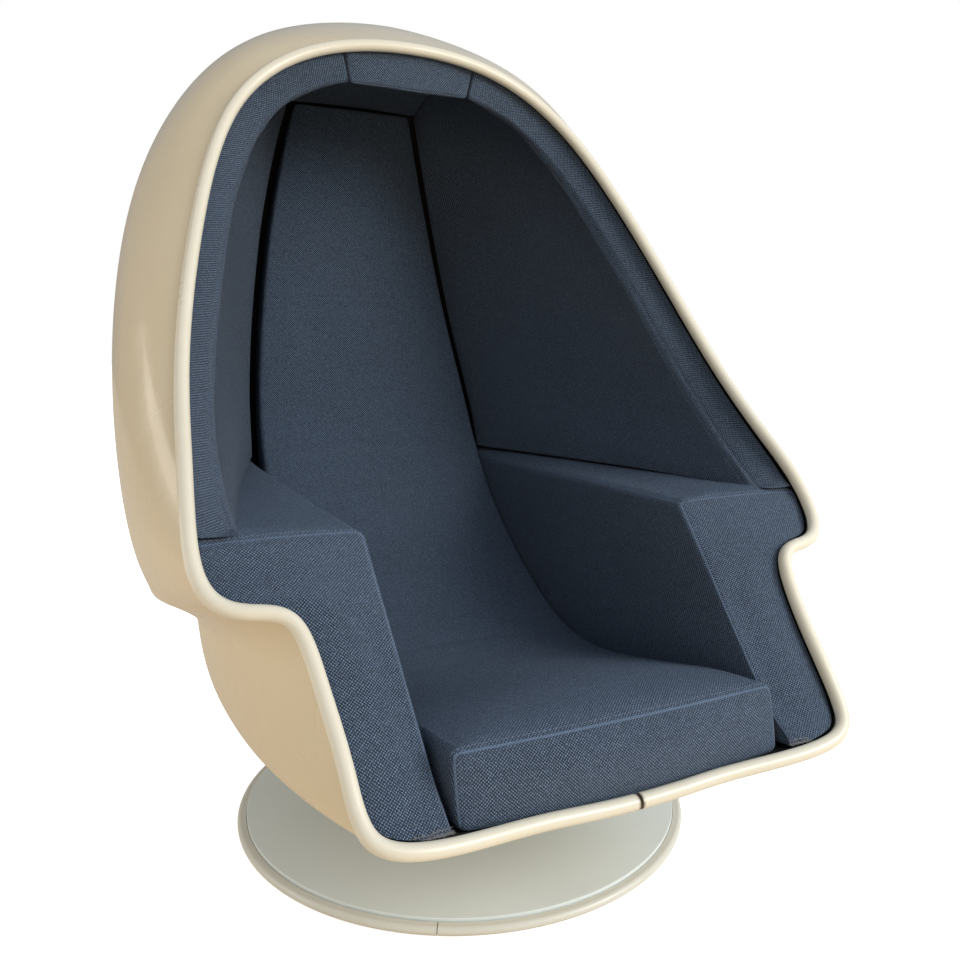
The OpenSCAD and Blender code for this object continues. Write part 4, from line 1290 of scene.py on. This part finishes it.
class PODCHAIR_OT_cushion(bpy.types.Operator):
    """Build the one long cushion of the seat and back"""

    bl_idname = "podchair.cushion"
    bl_label = "Seat and Back Cushion"

    def execute(self, context):
        form, looks = form_of(context), looks_of(context)
        block = cushion_block(form)
        piece = block.build("seat_and_back_cushion", False)
        along, across, down = block.share.T
        side = np.minimum(across, 1 - across)
        free = ((down < 0.02) | (along < 0.001)) & (side >= 0.02)
        limit = looks.puff * np.clip(side / 0.1, 0.05, 1)
        point_values(piece.data, "crease", block.flat[:, 0] - looks.crease_place)
        ids = block.ids
        seams = [ids[0, :, 0], ids[0, 0, :], ids[0, -1, :], ids[0, :, -1]]
        finish_pad(piece, np.where(free, 0.0, 1.0), looks, limit, 3.1, seams)
        dress(piece, material("woven_fabric_seat", paint_fabric, looks, crease=True),
              "woven_fabric", "pod", "seat_back_cushion")
        return {"FINISHED"}


class PODCHAIR_OT_arms(bpy.types.Operator):
    """Build the two arm pads between the shell and the seat"""

    bl_idname = "podchair.arms"
    bl_label = "Arm Pads"

    def execute(self, context):
        form, looks = form_of(context), looks_of(context)
        block = arm_block(form)
        cloth = material("woven_fabric_arms", paint_fabric, looks, worn=0.4)
        down, across, deep = block.share.T
        front, inner = deep < 0.001, across > 0.999
        held = np.where((down < 0.001) | front | inner, 0.0, 1.0)
        edge = np.min([down + 0.04, 1 - down, deep + 0.05, 1 - deep], axis=0)
        limit = looks.puff * np.clip(edge / 0.12, 0.08, 1)
        limit = capped(capped(limit, inner, 1.2 * MM), front, 2.5 * MM)
        seams = [block.ids[:, -1, 0], block.ids[0, :, 0]]
        for name, flip, seed, node in (
            ("arm_pad_soft_right", False, 5.2, "arm_pad_right"),
            ("arm_pad_soft_left", True, 8.7, "arm_pad_left"),
        ):
            piece = block.build(name, flip)
            finish_pad(piece, held, looks, limit, seed, seams)
            dress(piece, cloth, "woven_fabric", "pod", node)
        return {"FINISHED"}


class PODCHAIR_OT_hood_lining(bpy.types.Operator):
    """Build the padded lining of the hood: a pad on each side and one under the roof"""

    bl_idname = "podchair.hood_lining"
    bl_label = "Hood Lining"

    def execute(self, context):
        form, looks = form_of(context), looks_of(context)
        side = hood_block(form)
        # The hood and roof pads take the same fabric darkened to 0.9 and 0.95: painted shade inside
        # the hood.
        cloth = material("woven_fabric_hood", paint_fabric, looks, lift=0.9, worn=0.1)
        roof_cloth = material("woven_fabric_roof", paint_fabric, looks, lift=0.95)
        for name, block, flip, seed, fabric, node in (
            ("hood_lining_right", side, False, 1.4, cloth, "hood_pad_right"),
            ("hood_lining_left", side, True, 6.6, cloth, "hood_pad_left"),
            ("hood_lining_roof", roof_block(form), False, 2.9, roof_cloth, "hood_pad_top"),
        ):
            along, back, depth = block.share.T
            rim = back < 0.001
            held = np.where((depth > 0.999) | rim, 0.0, 1.0)
            edge = np.min([along, 1 - along, 1 - back], axis=0)
            limit = capped(looks.puff * np.clip(edge / 0.1, 0.06, 1), rim, 1.2 * MM)
            seams = [block.ids[:, 0, -1], block.ids[0, :, -1]]
            if block is not side:
                seams.append(block.ids[-1, :, -1])
            piece = block.build(name, flip)
            finish_pad(piece, held, looks, limit, seed, seams)
            dress(piece, fabric, "woven_fabric", "pod", node)
        return {"FINISHED"}


class PODCHAIR_OT_base(bpy.types.Operator):
    """Build the round base: its top plate, edge moulding, core and felt"""

    bl_idname = "podchair.base"
    bl_label = "Base"

    def execute(self, context):
        z, looks = context.scene.pod_chair_sizes, looks_of(context)
        plate_r = z.base_d / 2 - z.base_trim_w - 0.7 * MM
        plate_z = z.base_h - z.base_plate_t
        profile = rounded_profile(
            [(0, z.base_h), (plate_r, z.base_h), (plate_r, plate_z), (0, plate_z)],
            (0, 1.2 * MM, 0.4 * MM, 0),
        )
        plate = lathe("base_plate_turned", profile, 192)
        dress(plate, material("pale_laminate", paint_laminate, looks),
              "base_laminate", "base", "base_top_plate")
        edge = material("cream_edge_moulding", paint_vinyl, looks.trim_colour)
        coat_nodes(edge, "base_edge_trim")
        coat_nodes(material("layered_board", paint_board), "base_core_board")
        coat_nodes(material("grey_felt", paint_felt), "base_felt_ring")
        return {"FINISHED"}


class PODCHAIR_OT_swivel(bpy.types.Operator):
    """Dress the column, its flange, the spindle, bearings and the plate under the shell"""

    bl_idname = "podchair.swivel"
    bl_label = "Swivel"

    def execute(self, context):
        black = material("black_painted_steel", paint_metal, (0.018, 0.018, 0.019), 0.42,
                         painted=True)
        turned = material("turned_steel", paint_metal, (0.52, 0.51, 0.49), 0.28, turned=True)
        coat_nodes(black, "column_with_flange", "pod_plate")
        coat_nodes(turned, "swivel_spindle", "retaining_ring")
        coat_nodes(material("off_white_nylon", paint_nylon), "column_bush", "thrust_washer")
        return {"FINISHED"}


class PODCHAIR_OT_boards(bpy.types.Operator):
    """Finish the boards inside the shell: under the cushion, behind the pads and at the mount"""

    bl_idname = "podchair.boards"
    bl_label = "Inner Boards"

    def execute(self, context):
        coat_nodes(material("layered_board", paint_board), "seat_deck", "hood_board_left",
                   "hood_board_right", "inner_mount_board")
        return {"FINISHED"}


# ---------------------------------------------------------------- pieces grown by geometry nodes
def grown(name, points, edges, tree, values):
    """A piece grown by a geometry group on points and lines, with the group's inputs set."""
    start = bpy.data.meshes.new(name)
    start.from_pydata(points, edges, [])
    piece = placed(name, start)
    grow = piece.modifiers.new("Grow", "NODES")
    grow.node_group = tree
    for socket in tree.interface.items_tree:
        if socket.in_out == "INPUT" and socket.name in values:
            grow[socket.identifier] = values[socket.name]
    frozen(piece)
    return piece


def random_value(g, low, high, seed, kind="FLOAT"):
    """A random number or vector for each instance."""
    low_socket, high_socket, result = (2, 3, 1) if kind == "FLOAT" else (0, 1, 0)
    return g.node("FunctionNodeRandomValue", {low_socket: low, high_socket: high, "Seed": seed},
                  data_type=kind).outputs[result]


def scatter(g, inside, out, smooth, **values):
    """Sets instances on points, makes them real and gives them their material."""
    made = g.node("GeometryNodeInstanceOnPoints", values).outputs[0]
    made = g.node("GeometryNodeRealizeInstances", {"Geometry": made}).outputs[0]
    if smooth:
        made = g.node("GeometryNodeSetShadeSmooth", {"Geometry": made}).outputs[0]
    g.set(out["Geometry"], g.node("GeometryNodeSetMaterial", {
        "Geometry": made, "Material": inside["Material"]}).outputs[0])
    return g.tree


def bolt_group():
    """Hexagon bolts in a ring: a chamfered head with a washer face, and a round shank."""
    g, inside, out = group(
        "Ring of bolts",
        ("Geometry", "Count", "Ring", "Head", "Across", "Shank", "Length", "Material"),
        ("Geometry",), "GeometryNodeTree",
    )

    def disc(sides, radius, depth, low, top=None):
        made = g.node("GeometryNodeMeshCone", {
            "Vertices": sides, "Radius Bottom": radius, "Depth": depth,
            "Radius Top": radius if top is None else top,
        }, fill_type="NGON")
        return g.node("GeometryNodeTransform", {
            "Geometry": made.outputs["Mesh"], "Translation": g.joined(z=low)}).outputs[0]

    half = g.times(inside["Across"], 0.5)
    washer, body, cap = (g.times(inside["Head"], share) for share in (0.08, 0.74, 0.18))
    corner = g.times(half, 1.1547)
    low = g.math("SUBTRACT", 0.0, inside["Length"])
    parts = (
        disc(24, inside["Shank"], g.math("ADD", inside["Length"], washer), low),
        disc(32, g.times(half, 0.97), washer, 0.0),
        disc(6, corner, body, washer),
        disc(6, corner, cap, g.math("ADD", washer, body), g.times(half, 0.96)),
    )
    join = g.node("GeometryNodeJoinGeometry")
    for part in parts:
        g.set(join.inputs[0], part)
    ring = g.node("GeometryNodeMeshCircle", {
        "Vertices": inside["Count"], "Radius": inside["Ring"]}).outputs["Mesh"]
    number = g.node("GeometryNodeInputIndex").outputs[0]
    step = g.math("DIVIDE", 2 * math.pi, inside["Count"])
    turn = g.times(g.math("ADD", number, 0.5), step)
    place = g.joined(*(g.times(g.math(way, turn), inside["Ring"]) for way in ("COSINE", "SINE")))
    spots = g.node("GeometryNodeSetPosition", {"Geometry": ring, "Position": place}).outputs[0]
    spin = g.joined(z=g.times(random_value(g, 0.0, 1.0, 7), 2 * math.pi))
    return scatter(g, inside, out, False, Points=spots, Instance=join.outputs[0], Rotation=spin)


class PODCHAIR_OT_bolts(bpy.types.Operator):
    """Build the hexagon bolts of the base's flange and of the plate under the shell"""

    bl_idname = "podchair.bolts"
    bl_label = "Bolts"

    def execute(self, context):
        form = form_of(context)
        z = form.z
        zinc = material("zinc_plated_steel", paint_metal, (0.60, 0.60, 0.58), 0.34)
        tree = bolt_group()
        for name, node, body, ring, foot, length, way in (
            ("flange_hexagon_bolts", "flange_bolts", "base", FLANGE_RING_R,
             z.base_h + z.flange_t, FLANGE_BOLT, 1),
            ("pod_plate_hexagon_bolts", "pod_plate_bolts", "pod", POD_PLATE_RING_R,
             form.flat_z - z.pod_plate_t, POD_PLATE_BOLT, -1),
        ):
            piece = grown(name, [(0, 0, 0)], [], tree, {
                "Count": 4, "Ring": ring, "Head": BOLT_HEAD, "Across": BOLT_ACROSS,
                "Shank": z.bolt_d / 2 - THREAD_UNDER, "Length": length, "Material": zinc,
            })
            set_coordinates(piece.data, coordinates(piece.data) * (1, 1, way) + (0, 0, foot))
            if way < 0:
                piece.data.flip_normals()
            dress(piece, zinc, "zinc_steel", body, node)
        return {"FINISHED"}


def row_group(name, shape, spread, seed, stitched):
    """Stitches that follow every line of a mesh, or fibres that stand off it at all angles."""
    g, inside, out = group(
        name, ("Geometry", "Length", "Gap", "Thread", "Material"), ("Geometry",),
        "GeometryNodeTree",
    )
    curve = g.node("GeometryNodeMeshToCurve", {"Mesh": inside["Geometry"]}).outputs[0]
    step = g.math("ADD", inside["Length"], inside["Gap"]) if stitched else inside["Gap"]
    dots = g.node("GeometryNodeCurveToPoints", {"Curve": curve, "Length": step}, mode="LENGTH")
    thick, half = g.times(inside["Thread"], 0.5), g.times(inside["Length"], 0.5)
    size = g.scaled(g.joined(thick, thick, half), random_value(g, *spread, seed))
    turn = dots.outputs["Rotation"]
    if not stitched:
        turn = random_value(g, (0.2, -1.5, -3.0), (1.9, 1.5, 3.0), 3, "FLOAT_VECTOR")
    return scatter(g, inside, out, stitched, Points=dots.outputs["Points"],
                   Instance=shape(g), Rotation=turn, Scale=size)


def stitch_shape(g):
    return g.node("GeometryNodeMeshUVSphere", {
        "Segments": 6, "Rings": 4, "Radius": 1.0}).outputs[0]


def fibre_shape(g):
    return g.node("GeometryNodeMeshCone", {
        "Vertices": 4, "Radius Top": 0.3, "Radius Bottom": 1.0, "Depth": 2.0},
        fill_type="NGON").outputs["Mesh"]


def add_line(points, edges, mesh, line, lift):
    """Adds a line of a pad's points, lifted off its surface, to the points and edges."""
    where, out = coordinates(mesh), vertex_normals(mesh)
    first = len(points)
    points += [tuple(where[i] + out[i] * lift) for i in line]
    edges += [(first + k, first + k + 1) for k in range(len(line) - 1)]


class PODCHAIR_OT_stitches(bpy.types.Operator):
    """Sew rows of thread stitches beside the seams of the cushion and pads"""

    bl_idname = "podchair.stitches"
    bl_label = "Stitches"

    def execute(self, context):
        form, looks = form_of(context), looks_of(context)
        top, front = arm_block(form).ids[0, :, 3], hood_block(form).ids[:, 4, -1]
        points, edges = [], []
        for name, line in (
            ("seat_and_back_cushion", cushion_block(form).ids[3, :, 0]),
            ("arm_pad_soft_right", top), ("arm_pad_soft_left", top),
            ("hood_lining_right", front), ("hood_lining_left", front),
        ):
            add_line(points, edges, bpy.data.objects[name].data, line, 0.1 * looks.thread_d)
        yarn = material("sewing_thread", paint_thread, tinted(looks.fabric_light, 0.75))
        tree = row_group("Row of stitches", stitch_shape, (0.86, 1.08), 11, True)
        piece = grown("pad_stitches", points, edges, tree, {
            "Length": looks.stitch_length, "Gap": looks.stitch_gap,
            "Thread": looks.thread_d, "Material": yarn,
        })
        dress(piece, yarn, "woven_fabric", "pod")
        return {"FINISHED"}


class PODCHAIR_OT_frays(bpy.types.Operator):
    """Fray the lower corners of both arm fronts, where the fabric is rubbed at the rim"""

    bl_idname = "podchair.frays"
    bl_label = "Frayed Corners"

    def execute(self, context):
        ids = arm_block(form_of(context)).ids
        points, edges = [], []
        for name, reach in (("arm_pad_soft_left", 0.045), ("arm_pad_soft_right", 0.026)):
            mesh = bpy.data.objects[name].data
            where = coordinates(mesh)
            for row in (-6, -5, -4, -3):
                away = np.linalg.norm(where[ids[row, :, 0]] - where[ids[row, -4, 0]], axis=-1)
                add_line(points, edges, mesh, ids[row, away < reach, 0], 0.2 * MM)
        yarn = material("loose_fibres", paint_thread, (0.36, 0.34, 0.31))
        tree = row_group("Loose fibres", fibre_shape, (0.4, 1.2), 5, False)
        piece = grown("frayed_corners", points, edges, tree, {
            "Gap": 0.45 * MM, "Length": 4.5 * MM, "Thread": 0.5 * MM, "Material": yarn,
        })
        dress(piece, yarn, "woven_fabric", "pod")
        return {"FINISHED"}


# ---------------------------------------------------------------- stage
FLOOR_REACH = 40.0
CAMERA_PLACE = (-0.5701, -1.2810, 0.7597)
CAMERA_YAW, CAMERA_PITCH, CAMERA_ROLL = 0.45447, 0.15714, 0.00254
CAMERA_LENS, CAMERA_SHIFT = 32.754, (-0.0117, 0.00713)
# Each light's name, place, aim, size, power and colour.
LIGHTS = (
    ("window_light", (2.4, -3.3, 2.1), (0.1, 0.0, 0.6), (2.4, 1.9), 150, (0.96, 0.98, 1.0)),
    ("side_light", (-3.2, 0.9, 1.3), (0, 0.1, 0.6), (1.8, 2.2), 38, (1.0, 0.95, 0.86)),
    ("warm_fill", (-2.2, -3.4, 0.9), (0.1, 0.2, 0.7), (1.5, 1.5), 9, (1.0, 0.86, 0.68)),
)


def area_light(name, place, aim, size, power, colour):
    light = bpy.data.lights.new(name, "AREA")
    light.shape = "RECTANGLE"
    light.size, light.size_y = size
    light.energy, light.color = power, colour
    lamp = placed(name, light)
    lamp.location = place
    lamp.rotation_mode = "QUATERNION"
    lamp.rotation_quaternion = (Vector(aim) - Vector(place)).to_track_quat("-Z", "Y")


def pale_floor():
    """A wide floor that the camera sees as white far off and that gives the chair warm light."""
    far = FLOOR_REACH
    floor = make_mesh(
        "studio_floor", [(-far, -far, 0), (far, -far, 0), (far, far, 0), (-far, far, 0)],
        [(0, 1, 2, 3)],
    )
    made, g, shader, place = new_material("pale_floor")
    seen = g.node("ShaderNodeLightPath").outputs["Is Camera Ray"]
    shade = g.blend(g.noise(place, 0.4, 2.0), (0.80, 0.80, 0.80), (0.84, 0.84, 0.84))
    reach = g.node("ShaderNodeVectorMath", {0: place}, operation="LENGTH").outputs["Value"]
    # The glow the camera sees rises from 0.72 near the middle to full white 2.4 m out: painted
    # shade round the base, on top of the real contact shadow.
    glow = g.blend(g.ramp(reach, 0.6, 2.4), (0.72, 0.72, 0.72), (1.0, 1.0, 1.0))
    for socket, value in (
        ("Base Color", g.blend(seen, (0.66, 0.56, 0.44), shade)),
        ("Emission Color", g.blend(seen, (0.20, 0.17, 0.13), glow)),
        ("Emission Strength", 1.0), ("Roughness", 0.85), ("Specular IOR Level", 0.05),
    ):
        g.set(shader[socket], value)
    floor.data.materials.append(made)


def soft_room(scene):
    """A pale room for the reflections, which the camera sees as white."""
    scene.world = bpy.data.worlds.new("Soft room")
    scene.world.use_nodes = True
    scene.world.node_tree.nodes.clear()
    g = Graph(scene.world.node_tree)
    way = g.node("ShaderNodeTexCoord").outputs["Generated"]
    part = g.node("ShaderNodeSeparateXYZ", {0: way}).outputs
    room = g.blend(g.ramp(part[2], 0.0, 0.6), (0.68, 0.67, 0.65), (0.66, 0.78, 0.96))
    side = g.ramp(g.math("SUBTRACT", part[0], part[1]), -0.9, 0.9, 0.25, 1.0)
    room = g.blend(side, (0.16, 0.155, 0.15), room)
    seen = g.node("ShaderNodeLightPath").outputs["Is Camera Ray"]
    shade = g.blend(seen, room, (1.0, 1.0, 1.0))
    sky = g.node("ShaderNodeBackground", {"Color": shade, "Strength": 1.0})
    g.node("ShaderNodeOutputWorld", {"Surface": sky.outputs[0]})


def photo_camera(scene):
    """A camera at the photograph's place, turned by its yaw, pitch and roll."""
    camera = placed("photo_camera", bpy.data.cameras.new("photo_camera"))
    yaw, pitch, roll = CAMERA_YAW, CAMERA_PITCH, CAMERA_ROLL
    ahead = Vector((math.sin(yaw) * math.cos(pitch), math.cos(yaw) * math.cos(pitch),
                    -math.sin(pitch)))
    right = Vector((math.cos(yaw), -math.sin(yaw), 0))
    up = right.cross(ahead)
    side = right * math.cos(roll) + up * math.sin(roll)
    top = up * math.cos(roll) - right * math.sin(roll)
    turn = Matrix((side, top, -ahead)).transposed().to_4x4()
    camera.matrix_world = Matrix.Translation(CAMERA_PLACE) @ turn
    lens = camera.data
    lens.sensor_width, lens.lens = 36, CAMERA_LENS
    lens.shift_x, lens.shift_y = CAMERA_SHIFT
    lens.clip_start, lens.clip_end = 0.05, 200
    scene.camera = camera


class PODCHAIR_OT_stage(bpy.types.Operator):
    """Set up the plain pale floor, the soft light and the camera"""

    bl_idname = "podchair.stage"
    bl_label = "Studio"

    def execute(self, context):
        context.scene.view_settings.view_transform = "Standard"
        pale_floor()
        soft_room(context.scene)
        for light in LIGHTS:
            area_light(*light)
        photo_camera(context.scene)
        return {"FINISHED"}


# ---------------------------------------------------------------- panel and registration
class PODCHAIR_PT_builder(bpy.types.Panel):
    """Lists the pieces of the chair in the 3D view's sidebar"""

    bl_idname = "PODCHAIR_PT_builder"
    bl_label = "Pod Chair"
    bl_space_type = "VIEW_3D"
    bl_region_type = "UI"
    bl_category = "Pod Chair"

    def draw(self, context):
        layout = self.layout
        for step in STEPS:
            layout.operator(step.bl_idname)
        scene = context.scene
        for title, settings in (("Sizes", scene.pod_chair_sizes), ("Looks", looks_of(context))):
            box = layout.box()
            box.label(text=title)
            for name in settings.__annotations__:
                box.prop(settings, name)


STEPS = (
    PODCHAIR_OT_shell,
    PODCHAIR_OT_bead,
    PODCHAIR_OT_cushion,
    PODCHAIR_OT_arms,
    PODCHAIR_OT_hood_lining,
    PODCHAIR_OT_boards,
    PODCHAIR_OT_base,
    PODCHAIR_OT_swivel,
    PODCHAIR_OT_bolts,
    PODCHAIR_OT_stitches,
    PODCHAIR_OT_frays,
    PODCHAIR_OT_stage,
)
CLASSES = (PodChairSizes, PodChairLooks, *STEPS, PODCHAIR_PT_builder)


def register():
    for kind in CLASSES:
        bpy.utils.register_class(kind)
    bpy.types.Scene.pod_chair_sizes = PointerProperty(type=PodChairSizes)
    bpy.types.Scene.pod_chair_looks = PointerProperty(type=PodChairLooks)


def unregister():
    del bpy.types.Scene.pod_chair_looks
    del bpy.types.Scene.pod_chair_sizes
    for kind in reversed(CLASSES):
        bpy.utils.unregister_class(kind)


def main():
    """Builds every piece in turn."""
    register()
    bpy.ops.podchair.shell()
    bpy.ops.podchair.bead()
    bpy.ops.podchair.cushion()
    bpy.ops.podchair.arms()
    bpy.ops.podchair.hood_lining()
    bpy.ops.podchair.boards()
    bpy.ops.podchair.base()
    bpy.ops.podchair.swivel()
    bpy.ops.podchair.bolts()
    bpy.ops.podchair.stitches()
    bpy.ops.podchair.frays()
    bpy.ops.podchair.stage()
    bpy.context.view_layer.update()


if __name__ == "__main__":
    main()
